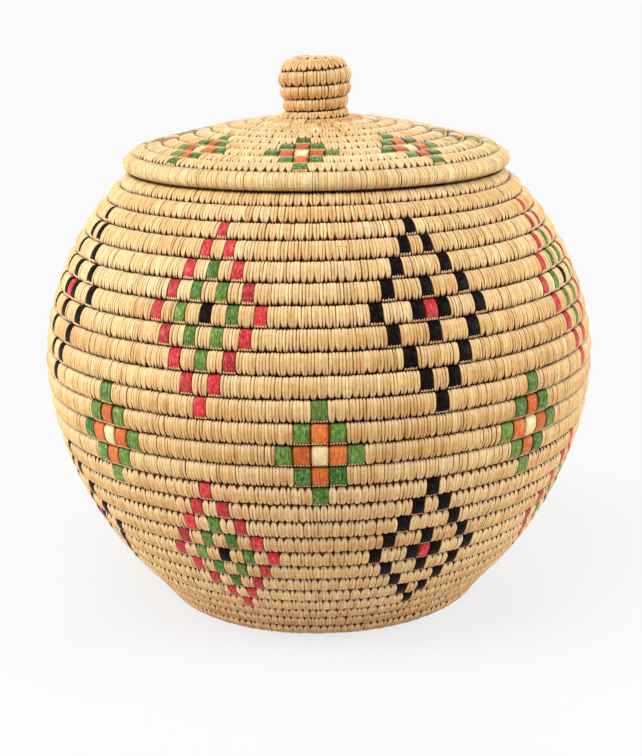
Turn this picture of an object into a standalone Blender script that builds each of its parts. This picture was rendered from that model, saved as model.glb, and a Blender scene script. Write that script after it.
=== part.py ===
"""Coiled grass basket with a lid.

A bundle of grass winds up in one long spiral from the middle of the base to the mouth, and a second one
winds down from the top of the knob to the edge of the lid.  Each spiral is cut into named lengths where
the basket changes its work: base, foot, wall, shoulder and mouth, and knob, dome, rim and flange.
Units are metres, +Z is up, the basket stands on Z = 0 with its axis on the Z axis, and its front is -Y.
"""

import bisect
import math

import bpy
from mathutils import Vector
from mathutils.bvhtree import BVHTree

MM = 0.001

# Wall, on its outside
BELLY_RADIUS = 101.8 * MM
BELLY_HEIGHT = 93.3 * MM
MOUTH_RADIUS = 68.2 * MM
MOUTH_HEIGHT = 163.0 * MM
FOOT_RADIUS = 52.7 * MM
FOOT_BEND_RADIUS = 9.0 * MM
WALL_FULLNESS = 1.82

# Rows of the wall, from the mouth down, and the turns of the base
MOUTH_ROWS = 1
MOUTH_PITCH = 6.5 * MM
SHOULDER_ROWS = 2
SHOULDER_PITCH = 6.4 * MM
UPPER_ROWS = 4
UPPER_PITCH = 7.3 * MM
BELLY_ROWS = 7
BELLY_PITCH = 7.35 * MM
LOWER_ROWS = 9
LOWER_PITCH = 6.8 * MM
FOOT_ROWS = 3
FOOT_PITCH = 6.2 * MM
BASE_PITCH = 7.7 * MM
BASE_START_RADIUS = 6.2 * MM
BASE_START_TURNS = 1.4

# How the spiral climbs: more at the back than at the front, and level at the mouth
BACK_CLIMB_AT_MOUTH = 0.8
BACK_CLIMB_IN_WALL = 0.3
CLIMB_CHANGE_ROWS = 4.0
MOUTH_END_ANGLE = math.radians(265.0)
TAIL_THICKNESS = 2.4 * MM

# Fits
TURN_GAP = 0.55 * MM
DOME_OVER_RIM = 1.8 * MM
DOME_ABOVE_RIM = 0.7 * MM
SEAT_GAP = 0.3 * MM
FLAT_CUT_SHARE = 0.1

# Section of the coil: the flats of a six-sided tube lie nearer its middle than its corners
CORNERS = 6
SECTION_STEP = 2.0 * math.pi / CORNERS
FLAT_SHARE = math.cos(SECTION_STEP / 2.0)

# Lid rim roll, which reaches out past the mouth, and the flange inside the mouth
RIM_OVERHANG = 3.2 * MM
RIM_OUTER_RADIUS = MOUTH_RADIUS + RIM_OVERHANG
RIM_HEIGHT = 7.6 * MM
RIM_SCARF_STEPS = 2
RIM_TIP = 0.3
FLANGE_PITCH = 5.2 * MM
FLANGE_TURNS = 2
FLANGE_CLEARANCE = 1.2 * MM

# Lid dome and knob, with heights above the face that the lid sits on
DOME_EDGE_RADIUS = RIM_OUTER_RADIUS - RIM_HEIGHT / FLAT_SHARE + DOME_OVER_RIM
DOME_EDGE_RISE = RIM_HEIGHT + DOME_ABOVE_RIM
DOME_KNOB_RADIUS = 14.6 * MM
DOME_KNOB_RISE = 16.5 * MM
DOME_CROWN = 0.2 * MM
DOME_PITCH = 6.0 * MM
DOME_OUTER_ROWS = 5

# The inner rows fill what is left of the dome, and run up to the knob's foot by part of a row
ROWS_UP_THE_KNOB = 0.45
ROW_PARTS = 4
DOME_ROWS = (DOME_EDGE_RADIUS - DOME_KNOB_RADIUS) / DOME_PITCH + ROWS_UP_THE_KNOB
DOME_INNER_ROWS = round(ROW_PARTS * (DOME_ROWS - DOME_OUTER_ROWS)) / ROW_PARTS
KNOB_RING_ROWS = 1
KNOB_RING_PITCH = 5.2 * MM
KNOB_GRIP_ROWS = 3
KNOB_GRIP_PITCH = 4.7 * MM
KNOB_CAP_PITCH = 4.5 * MM
KNOB_RING_RADIUS = 9.5 * MM
KNOB_NECK_RADIUS = 9.3 * MM
KNOB_GRIP_RADIUS = 10.4 * MM
KNOB_CAP_RADIUS = 7.2 * MM
KNOB_START_RADIUS = 3.0 * MM
KNOB_RING_RISE = 19.4 * MM
KNOB_NECK_RISE = 24.5 * MM
KNOB_GRIP_LOW_RISE = 29.7 * MM
KNOB_GRIP_TOP_RISE = 35.6 * MM
KNOB_CAP_RISE = 38.5 * MM
LID_END_ANGLE = math.radians(77.0)

# How finely the coil is drawn
BASKET_POINTS_PER_TURN = 15
LID_POINTS_PER_TURN = 15
KNOB_POINTS_PER_TURN = 8
STEPS_PER_TURN = 360
OUTLINE_STEP = 0.4 * MM
SLOPE_STEP = 0.2 * MM
NORMAL_REACH = 1.2 * MM
BEND_STEPS = 16
BEND_SEARCH_STEPS = 60
DOME_STEPS = 12
SMOOTHING_STEPS = 8
FIRST_TURN = 0.02
CUTTER_SIDE = 3.0 * BELLY_RADIUS

STRAW = (0.74, 0.55, 0.31)
PALE_STRAW = (0.80, 0.63, 0.38)
TAN_STRAW = (0.66, 0.45, 0.25)
ROSY_STRAW = (0.70, 0.47, 0.32)


def clear_scene():
    """Remove the objects of the opening scene."""
    for item in list(bpy.data.objects):
        bpy.data.objects.remove(item, do_unlink=True)


def straw_material(name, colour):
    """Return a dry grass material: dull, not metal."""
    material = bpy.data.materials.new(name)
    material.use_nodes = True
    shader = material.node_tree.nodes["Principled BSDF"]
    shader.inputs["Base Color"].default_value = (*colour, 1.0)
    shader.inputs["Roughness"].default_value = 0.6
    shader.inputs["Metallic"].default_value = 0.0
    return material


def section_radius(pitch):
    """Return the corner radius of the six-sided section that fills a row of this pitch."""
    return (pitch - TURN_GAP) / 2.0 / FLAT_SHARE


def wall_radius(height):
    """Return the wall's outside radius at a height, from two half ovals that meet at the belly."""
    if height >= BELLY_HEIGHT:
        edge_radius, reach = MOUTH_RADIUS, MOUTH_HEIGHT - BELLY_HEIGHT
    else:
        edge_radius, reach = FOOT_RADIUS, BELLY_HEIGHT
    share = 1.0 - (edge_radius / BELLY_RADIUS) ** 2
    drop = share * (abs(height - BELLY_HEIGHT) / reach) ** WALL_FULLNESS
    return BELLY_RADIUS * math.sqrt(1.0 - drop)


def wall_core_line():
    """Return points (radius, height) of the coil's middle line, from the mouth down to the floor."""
    count = int(MOUTH_HEIGHT / OUTLINE_STEP)
    inset = section_radius(LOWER_PITCH)
    points = []
    for index in range(count + 1):
        height = MOUTH_HEIGHT * (1.0 - index / count)
        rise = wall_radius(height + SLOPE_STEP) - wall_radius(height - SLOPE_STEP)
        slope = rise / (2.0 * SLOPE_STEP)
        length = math.hypot(1.0, slope)
        points.append((wall_radius(height) - inset / length, height + inset * slope / length))
    return points


def base_core_height():
    """Return the height of the coil's middle line in the base, whose lowest corners are cut flat."""
    corner = section_radius(BASE_PITCH)
    return corner - FLAT_CUT_SHARE * 2.0 * corner


def basket_outline():
    """Return the middle line of the basket's coil: wall, bend at the foot and flat base."""
    wall = wall_core_line()
    floor = base_core_height()
    bend_height = floor + FOOT_BEND_RADIUS
    low, high = 0.0, BELLY_RADIUS
    for _ in range(BEND_SEARCH_STEPS):
        centre = (low + high) / 2.0
        distances = [math.hypot(r - centre, z - bend_height) for r, z in wall]
        if min(distances) > FOOT_BEND_RADIUS:
            low = centre
        else:
            high = centre
    touch = distances.index(min(distances))
    outline = wall[:touch]
    start = math.atan2(wall[touch][1] - bend_height, wall[touch][0] - centre)
    end = -math.pi / 2.0
    for index in range(BEND_STEPS + 1):
        angle = start + (end - start) * index / BEND_STEPS
        radius = centre + FOOT_BEND_RADIUS * math.cos(angle)
        outline.append((radius, bend_height + FOOT_BEND_RADIUS * math.sin(angle)))
    outline.append((0.0, floor))
    return outline


def smooth_through(points):
    """Return a smooth curve through the points."""
    result = []
    for index in range(len(points) - 1):
        before = points[max(index - 1, 0)]
        first, second = points[index], points[index + 1]
        after = points[min(index + 2, len(points) - 1)]
        for step in range(SMOOTHING_STEPS):
            t = step / SMOOTHING_STEPS
            result.append(tuple(
                0.5 * (2.0 * first[k] + (second[k] - before[k]) * t
                       + (2.0 * before[k] - 5.0 * first[k] + 4.0 * second[k] - after[k]) * t ** 2
                       + (3.0 * first[k] - before[k] - 3.0 * second[k] + after[k]) * t ** 3)
                for k in range(2)))
    result.append(points[-1])
    return result


def dome_rise(radius):
    """Return how high the dome's middle line lies above the lid's seat at a radius."""
    share = (DOME_EDGE_RADIUS - radius) / (DOME_EDGE_RADIUS - DOME_KNOB_RADIUS)
    crown = DOME_CROWN * 4.0 * share * (1.0 - share)
    return DOME_EDGE_RISE + (DOME_KNOB_RISE - DOME_EDGE_RISE) * share + crown


def lid_outline(seat):
    """Return the middle line of the lid's coil, from the dome's edge up over the knob to its centre."""
    dome = []
    for index in range(DOME_STEPS + 1):
        radius = DOME_EDGE_RADIUS + (DOME_KNOB_RADIUS - DOME_EDGE_RADIUS) * index / DOME_STEPS
        dome.append((radius, seat + dome_rise(radius)))
    knob = [
        (KNOB_RING_RADIUS, seat + KNOB_RING_RISE),
        (KNOB_NECK_RADIUS, seat + KNOB_NECK_RISE),
        (KNOB_GRIP_RADIUS, seat + KNOB_GRIP_LOW_RISE),
        (KNOB_GRIP_RADIUS, seat + KNOB_GRIP_TOP_RISE),
        (KNOB_CAP_RADIUS, seat + KNOB_CAP_RISE),
        (0.0, seat + KNOB_CAP_RISE),
    ]
    return smooth_through(dome + knob)


class Spiral:
    """One long coil that follows an outline, counted in turns from its finished edge inwards."""

    def __init__(self, outline, rows, end_angle, direction, edge_climb, inner_climb):
        self.outline = outline
        self.end_angle = end_angle
        self.direction = direction
        self.lengths = [0.0]
        for (r0, z0), (r1, z1) in zip(outline, outline[1:]):
            self.lengths.append(self.lengths[-1] + math.hypot(r1 - r0, z1 - z0))
        self.climbed = [0.0]
        while self.climbed[-1] < self.lengths[-1]:
            turn = len(self.climbed) / STEPS_PER_TURN
            blend = min(turn / CLIMB_CHANGE_ROWS, 1.0)
            back = edge_climb + (inner_climb - edge_climb) * blend
            step = self.pitch_at(rows, turn) * (1.0 - back * math.cos(self.angle(turn))) / STEPS_PER_TURN
            self.climbed.append(self.climbed[-1] + step)

    @staticmethod
    def pitch_at(rows, turn):
        """Return the pitch of the stretch of rows that this turn lies in."""
        passed = 0.0
        for count, pitch in rows:
            passed += count
            if turn < passed:
                return pitch
        return rows[-1][1]

    def angle(self, turn):
        """Return the angle round the axis, from the front towards the right."""
        return self.end_angle - self.direction * 2.0 * math.pi * turn

    def climb(self, turn):
        """Return how far the upper edge of the coil lies from the finished edge."""
        place = max(turn, 0.0) * STEPS_PER_TURN
        index = min(int(place), len(self.climbed) - 2)
        share = place - index
        return self.climbed[index] * (1.0 - share) + self.climbed[index + 1] * share

    def thickness(self, turn):
        """Return the width of the row there: the last turn thins out, so that its edge is level."""
        return self.climb(turn) - self.climb(turn - 1.0)

    def on_outline(self, length):
        """Return radius and height at a length along the outline."""
        index = min(max(bisect.bisect_right(self.lengths, length) - 1, 0), len(self.outline) - 2)
        (r0, z0), (r1, z1) = self.outline[index], self.outline[index + 1]
        span = self.lengths[index + 1] - self.lengths[index]
        share = (length - self.lengths[index]) / span
        return r0 + (r1 - r0) * share, z0 + (z1 - z0) * share

    def core(self, turn):
        """Return radius, height and the normal's elevation at the coil's middle."""
        middle = (self.climb(turn) + self.climb(turn - 1.0)) / 2.0
        radius, height = self.on_outline(middle)
        before = self.on_outline(middle - NORMAL_REACH)
        after = self.on_outline(middle + NORMAL_REACH)
        return radius, height, -math.atan2(before[0] - after[0], before[1] - after[1])

    def turn_at_radius(self, radius):
        """Return the turn where the coil has come in to this radius."""
        turn = 1.0
        while self.core(turn)[0] > radius:
            turn += 1.0 / STEPS_PER_TURN
        return turn

    def tail_turn(self):
        """Return the turn where the thinning tail ends."""
        turn = 0.0
        while self.thickness(turn) < TAIL_THICKNESS:
            turn += 1.0 / STEPS_PER_TURN
        return turn

    def corner_radius(self, turn, per_turn):
        """Return the section's corner radius, as large as the rows beside it leave room for.

        Flats face the rows beside; where the outline bends, the corners of two flats come nearest.
        Straight stretches bring two rows nearer by the cosine of half a stretch.
        """
        radius, height, normal = self.core(turn)
        own = self.thickness(turn)
        corner = section_radius(own)
        flattening = math.cos(math.pi / per_turn)
        for other in (turn - 1.0, turn + 1.0):
            other_width = self.thickness(other)
            if other_width <= TAIL_THICKNESS / 2.0:
                continue
            other_radius, other_height, _ = self.core(other)
            across, up = (other_radius - radius) * flattening, other_height - height
            distance = math.hypot(across, up)
            room = distance * own / (own + other_width) - TURN_GAP / 2.0
            lean = math.asin(abs(across * math.cos(normal) + up * math.sin(normal)) / distance)
            corner = min(corner, room / math.cos(SECTION_STEP / 2.0 - min(lean, SECTION_STEP / 2.0)))
        return corner

    def sample(self, angle, per_turn):
        """Return place, tilt and corner radius of the coil at an angle counted through all its turns."""
        turn = max((self.end_angle - angle) / (2.0 * math.pi * self.direction), FIRST_TURN)
        radius, height, normal = self.core(turn)
        place = Vector((radius * math.sin(angle), -radius * math.cos(angle), height))
        return place, -normal, self.corner_radius(turn, per_turn)

    def stretch(self, low, high, per_turn, low_step, high_step):
        """Return the coil's points between two cuts, at even angles that all rows share.

        A cut lies in the middle of a straight stretch, on the grid of steps given for its end.
        """
        low_mark = math.floor(self.angle(low) / low_step)
        high_mark = math.floor(self.angle(high) / high_step)
        step = 2.0 * math.pi / per_turn
        angles = [low_mark * low_step, (low_mark + 1) * low_step]
        index = math.floor(angles[-1] / step + 0.5) + 1
        while index * step < high_mark * high_step - step / 2.0:
            angles.append(index * step)
            index += 1
        angles += [high_mark * high_step, (high_mark + 1) * high_step]
        return cut_stretch([self.sample(angle, per_turn) for angle in angles])


def cut_stretch(points):
    """Shorten the first and last stretch of a run of points to half, less half of the seat gap."""
    def halfway(outer, inner):
        direction = (inner[0] - outer[0]).normalized()
        place = (outer[0] + inner[0]) / 2.0 + direction * SEAT_GAP / 2.0
        return place, (outer[1] + inner[1]) / 2.0, (outer[2] + inner[2]) / 2.0

    return [halfway(points[0], points[1])] + points[1:-1] + [halfway(points[-1], points[-2])]


def coil_object(name, points, colour, parent):
    """Wind one unbroken six-sided tube through the points."""
    curve = bpy.data.curves.new(name, "CURVE")
    curve.dimensions = "3D"
    curve.twist_mode = "Z_UP"
    curve.bevel_depth = 1.0
    curve.bevel_resolution = 1
    curve.use_fill_caps = True
    spline = curve.splines.new("POLY")
    spline.points.add(len(points) - 1)
    for target, (place, tilt, radius) in zip(spline.points, points):
        target.co = (*place, 1.0)
        target.tilt = tilt
        target.radius = radius
    guide = bpy.data.objects.new(name + "_guide", curve)
    bpy.context.scene.collection.objects.link(guide)
    bpy.context.view_layer.update()
    evaluated = guide.evaluated_get(bpy.context.evaluated_depsgraph_get())
    mesh = bpy.data.meshes.new_from_object(evaluated)
    mesh.name = name
    bpy.data.objects.remove(guide, do_unlink=True)
    mesh.materials.clear()
    mesh.materials.append(straw_material(name + "_grass", colour))
    coil = bpy.data.objects.new(name, mesh)
    bpy.context.scene.collection.objects.link(coil)
    coil.parent = parent
    return coil


def report_least_gap(coil, count, per_turn):
    """Measure the least gap between the coil's own turns, on its surface, and print it.

    The tube has a ring of six corners at each of its points, after the two rings that close its ends.
    """
    if count <= per_turn:
        print(coil.name, "has less than one full turn beside itself")
        return
    corners = [vertex.co.copy() for vertex in coil.data.vertices]
    rings = [corners[CORNERS * (index + 2):CORNERS * (index + 3)] for index in range(count)]
    least = math.inf
    for index in range(count - 1):
        quads = [(k, (k + 1) % CORNERS, (k + 1) % CORNERS + CORNERS, k + CORNERS) for k in range(CORNERS)]
        tree = BVHTree.FromPolygons(rings[index] + rings[index + 1], quads)
        for other, ring in enumerate(rings):
            if abs(other - index) < per_turn // 2:
                continue
            following = rings[min(other + 1, count - 1)]
            for corner, next_corner in zip(ring, following):
                for spot in (corner, (corner + next_corner) / 2.0):
                    least = min(least, tree.find_nearest(spot)[3])
    print("least gap of", coil.name, "to itself:", round(least / MM, 2), "mm")


def cut_flat_below(coil):
    """Cut the coil flat at the height of the floor."""
    bpy.ops.mesh.primitive_cube_add(size=1.0)
    cutter = bpy.context.object
    cutter.name = coil.name + "_floor_cut"
    for vertex in cutter.data.vertices:
        vertex.co = (vertex.co - Vector((0.0, 0.0, 0.5))) * CUTTER_SIDE
    cutter.hide_render = True
    cutter.display_type = "WIRE"
    cut = coil.modifiers.new("flat underside", "BOOLEAN")
    cut.operation = "DIFFERENCE"
    cut.solver = "EXACT"
    cut.object = cutter


def basket_spiral():
    """Return the spiral of the basket, from its mouth down and in to the middle of the base."""
    rows = [
        (MOUTH_ROWS, MOUTH_PITCH),
        (SHOULDER_ROWS, SHOULDER_PITCH),
        (UPPER_ROWS, UPPER_PITCH),
        (BELLY_ROWS, BELLY_PITCH),
        (LOWER_ROWS, LOWER_PITCH),
        (FOOT_ROWS, FOOT_PITCH),
        (math.inf, BASE_PITCH),
    ]
    return Spiral(basket_outline(), rows, MOUTH_END_ANGLE, 1.0, BACK_CLIMB_AT_MOUTH, BACK_CLIMB_IN_WALL)


def build_basket(parent):
    """Make the basket's lengths of coil, and return the height that the lid sits on."""
    spiral = basket_spiral()
    tail = spiral.tail_turn()
    inner_end = spiral.turn_at_radius(BASE_START_RADIUS)
    start_end = inner_end - BASE_START_TURNS
    lengths = [
        ("mouth_row_coil", MOUTH_ROWS, TAN_STRAW),
        ("shoulder_coil", SHOULDER_ROWS, STRAW),
        ("upper_wall_coil", UPPER_ROWS, PALE_STRAW),
        ("belly_coil", BELLY_ROWS, STRAW),
        ("lower_wall_coil", LOWER_ROWS, TAN_STRAW),
        ("foot_coil", FOOT_ROWS, ROSY_STRAW),
    ]
    step = 2.0 * math.pi / BASKET_POINTS_PER_TURN
    seat = 0.0
    first = tail
    passed = 0.0
    for name, rows, colour in lengths:
        passed += rows
        points = spiral.stretch(passed, first, BASKET_POINTS_PER_TURN, step, step)
        first = passed
        coil = coil_object(name, points, colour, parent)
        report_least_gap(coil, len(points), BASKET_POINTS_PER_TURN)
        if name == "mouth_row_coil":
            seat = max(vertex.co.z for vertex in coil.data.vertices)
    for name, high, low, colour in (
            ("base_coil", first, start_end, TAN_STRAW),
            ("base_start_coil", start_end, inner_end, ROSY_STRAW)):
        points = spiral.stretch(low, high, BASKET_POINTS_PER_TURN, step, step)
        coil = coil_object(name, points, colour, parent)
        report_least_gap(coil, len(points), BASKET_POINTS_PER_TURN)
        cut_flat_below(coil)
    return seat + SEAT_GAP


def build_lid_coil(seat, parent):
    """Make the lid's lengths of coil: dome, ring, knob and cap."""
    rows = [
        (DOME_OUTER_ROWS, DOME_PITCH),
        (DOME_INNER_ROWS, DOME_PITCH),
        (KNOB_RING_ROWS, KNOB_RING_PITCH),
        (KNOB_GRIP_ROWS, KNOB_GRIP_PITCH),
        (math.inf, KNOB_CAP_PITCH),
    ]
    spiral = Spiral(lid_outline(seat), rows, LID_END_ANGLE, -1.0, BACK_CLIMB_AT_MOUTH, BACK_CLIMB_IN_WALL)
    inner_end = spiral.turn_at_radius(KNOB_START_RADIUS)
    dome_end = DOME_OUTER_ROWS + DOME_INNER_ROWS
    ring_end = dome_end + KNOB_RING_ROWS
    grip_end = ring_end + KNOB_GRIP_ROWS
    large, small = LID_POINTS_PER_TURN, KNOB_POINTS_PER_TURN
    lengths = [
        ("lid_outer_coil", spiral.tail_turn(), DOME_OUTER_ROWS, large, large, large, PALE_STRAW),
        ("lid_inner_coil", DOME_OUTER_ROWS, dome_end, large, large, small, STRAW),
        ("knob_ring_coil", dome_end, ring_end, small, small, small, ROSY_STRAW),
        ("knob_grip_coil", ring_end, grip_end, small, small, small, TAN_STRAW),
        ("knob_cap_coil", grip_end, inner_end, small, small, small, STRAW),
    ]
    for name, low, high, per_turn, low_count, high_count, colour in lengths:
        points = spiral.stretch(low, high, per_turn, 2.0 * math.pi / low_count, 2.0 * math.pi / high_count)
        coil = coil_object(name, points, colour, parent)
        report_least_gap(coil, len(points), per_turn)


def build_rim(seat, parent):
    """Make the thick roll round the lid's edge: one turn whose thin ends lie side by side at the back."""
    half = RIM_HEIGHT / 2.0
    corner = half / FLAT_SHARE
    middle = RIM_OUTER_RADIUS - corner
    step = 2.0 * math.pi / LID_POINTS_PER_TURN
    first = LID_POINTS_PER_TURN // 2 - RIM_SCARF_STEPS // 2
    count = LID_POINTS_PER_TURN + RIM_SCARF_STEPS
    points = []
    for index in range(count + 1):
        from_start = index / RIM_SCARF_STEPS
        from_end = (count - index) / RIM_SCARF_STEPS
        slimness = min(RIM_TIP + (1.0 - 2.0 * RIM_TIP) * min(from_start, from_end), 1.0)
        side = -1.0 if from_start < from_end else 1.0
        radius = middle + side * (1.0 - slimness) * (corner + TURN_GAP)
        angle = (first + index) * step
        place = Vector((radius * math.sin(angle), -radius * math.cos(angle), seat + half * slimness))
        points.append((place, 0.0, corner * slimness))
    coil = coil_object("lid_rim_coil", points, PALE_STRAW, parent)
    report_least_gap(coil, len(points), LID_POINTS_PER_TURN)


def build_flange(seat, mouth_inner_radius, parent):
    """Make the rows under the lid that drop into the mouth, clear of the mouth and of the rim roll."""
    corner = section_radius(FLANGE_PITCH)
    rim_inner_radius = RIM_OUTER_RADIUS - RIM_HEIGHT / FLAT_SHARE
    outside = min(mouth_inner_radius - FLANGE_CLEARANCE, rim_inner_radius - SEAT_GAP)
    radius = outside - corner
    dome_underside = dome_rise(radius) - DOME_PITCH / 2.0
    top = seat + dome_underside - SEAT_GAP - corner * FLAT_SHARE
    step = 2.0 * math.pi / LID_POINTS_PER_TURN
    first = LID_POINTS_PER_TURN // 2
    count = FLANGE_TURNS * LID_POINTS_PER_TURN
    points = []
    for index in range(count + 1):
        angle = (first + index) * step
        height = top - FLANGE_PITCH * (count - index) / LID_POINTS_PER_TURN
        place = Vector((radius * math.sin(angle), -radius * math.cos(angle), height))
        points.append((place, 0.0, corner))
    coil = coil_object("lid_flange_coil", points, TAN_STRAW, parent)
    report_least_gap(coil, len(points), LID_POINTS_PER_TURN)


def empty(name, height):
    """Return an empty on the axis, which carries a body's pieces."""
    holder = bpy.data.objects.new(name, None)
    holder.location = (0.0, 0.0, height)
    bpy.context.scene.collection.objects.link(holder)
    return holder


def main():
    """Build the basket and its lid."""
    clear_scene()
    basket = empty("basket", 0.0)
    seat = build_basket(basket)
    lid = empty("lid", 0.0)
    mouth = bpy.data.objects["mouth_row_coil"]
    inner = min(math.hypot(v.co.x, v.co.y) for v in mouth.data.vertices)
    build_lid_coil(seat, lid)
    build_rim(seat, lid)
    build_flange(seat, inner, lid)


main()
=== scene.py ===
"""Coiled grass basket with a lid: the looks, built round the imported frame.

Every row is a grass bundle wrapped with hundreds of narrow sewing strands, each one a closed body that is bent
over the row, and with wide dyed straps where the diamonds and crosses are. A few kinds of strand, one strap and
one short end are modelled, and their copies are laid along the same spirals as the frame's coils. Lengths are
written in millimetres and turned to metres when a mesh is made.
"""

import logging
import math
from dataclasses import dataclass, field, replace
from enum import Enum

import bpy
import numpy as np
from mathutils import Euler, Matrix, Vector


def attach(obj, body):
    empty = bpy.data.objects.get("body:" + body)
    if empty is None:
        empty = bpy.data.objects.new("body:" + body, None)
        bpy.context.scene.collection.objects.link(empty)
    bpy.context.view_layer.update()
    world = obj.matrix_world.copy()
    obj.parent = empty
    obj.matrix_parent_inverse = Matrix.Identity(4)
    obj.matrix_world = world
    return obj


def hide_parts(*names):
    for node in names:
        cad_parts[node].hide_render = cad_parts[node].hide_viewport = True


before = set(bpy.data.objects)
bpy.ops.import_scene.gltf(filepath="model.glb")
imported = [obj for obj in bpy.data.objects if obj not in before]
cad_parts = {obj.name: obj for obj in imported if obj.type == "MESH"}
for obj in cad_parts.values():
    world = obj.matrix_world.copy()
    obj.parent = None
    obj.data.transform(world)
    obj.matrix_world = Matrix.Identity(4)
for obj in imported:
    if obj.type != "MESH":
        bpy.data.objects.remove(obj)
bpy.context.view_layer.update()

MM = 0.001
TURN = 2.0 * math.pi
LOG = logging.getLogger("coiled_basket")
# In the baked map each copy has a cell: columns for each line of cells, and how much of its cell a copy fills
CELL_COLUMNS = 1.9
CELL_FILL = (0.94, 0.96)
# Powers that shape a wound roll's section below and above its middle: under one is squarer than round
ROLL_POWERS = (0.8, 1.05)
SHORT_END_SPACING = 0.85


def linear(hex_colour: str) -> tuple[float, float, float, float]:
    """Turn an sRGB hex colour to the linear values that the shaders take.

    Args:
        hex_colour: Colour such as "#D9B071".

    Returns:
        Red, green, blue and an alpha of one.
    """
    values = []
    for start in (1, 3, 5):
        share = int(hex_colour[start:start + 2], 16) / 255.0
        values.append(share / 12.92 if share <= 0.04045 else ((share + 0.055) / 1.055) ** 2.4)
    return (*values, 1.0)


def feed(tree: bpy.types.NodeTree, node: bpy.types.Node, inputs: dict) -> None:
    """Give a node's inputs their values and links.

    Args:
        tree: Node tree that holds the node.
        node: The node.
        inputs: Values or output sockets, by the name or number of the input they go to.
    """
    for key, value in inputs.items():
        if isinstance(value, bpy.types.NodeSocket):
            tree.links.new(value, node.inputs[key])
        else:
            node.inputs[key].default_value = value


def add_node(tree: bpy.types.NodeTree, kind: str, inputs: dict | None = None, **settings) -> bpy.types.Node:
    """Add one node with its settings, values and links.

    Args:
        tree: Node tree that gets the node.
        kind: Type name of the node.
        inputs: Values or output sockets, by the name or number of the input they go to.
        settings: Properties of the node itself.

    Returns:
        The new node.
    """
    node = tree.nodes.new(kind)
    for name, value in settings.items():
        setattr(node, name, value)
    feed(tree, node, inputs or {})
    return node


def new_material(name: str, *layers: str) -> tuple[bpy.types.Material, list[bpy.types.NodeSocket]]:
    """Start a material that reads vector attributes of the mesh.

    Args:
        name: Name of the material.
        layers: Names of the attributes.

    Returns:
        The material, and the attributes' values as sockets, three for each attribute.
    """
    material = bpy.data.materials.new(name)
    material.use_nodes = True
    values = []
    for layer in layers:
        read = add_node(material.node_tree, "ShaderNodeAttribute", attribute_name=layer)
        parts = add_node(material.node_tree, "ShaderNodeSeparateXYZ", {"Vector": read.outputs["Vector"]})
        values.extend(parts.outputs)
    return material, values


def pattern_place(tree: bpy.types.NodeTree, *axes: tuple[bpy.types.NodeSocket, float]) -> bpy.types.NodeSocket:
    """Make the coordinates that a pattern is laid out on.

    Args:
        tree: Node tree that gets the nodes.
        axes: For X, Y and Z in turn, the value that runs along it and its scale.

    Returns:
        Socket with the coordinates.
    """
    place = add_node(tree, "ShaderNodeCombineXYZ")
    for number, (value, scale) in enumerate(axes):
        scaled = add_node(tree, "ShaderNodeMath", {0: value, 1: scale}, operation="MULTIPLY")
        tree.links.new(scaled.outputs[0], place.inputs[number])
    return place.outputs[0]


class Dye(Enum):
    """What a strap is made of: undyed grass, or one of the four dyes."""

    NATURAL = 0
    RED = 1
    GREEN = 2
    BLACK = 3
    ORANGE = 4


class Side(Enum):
    """Which side of a row the strands lie on."""

    OUTSIDE = 1.0
    INSIDE = -1.0


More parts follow.
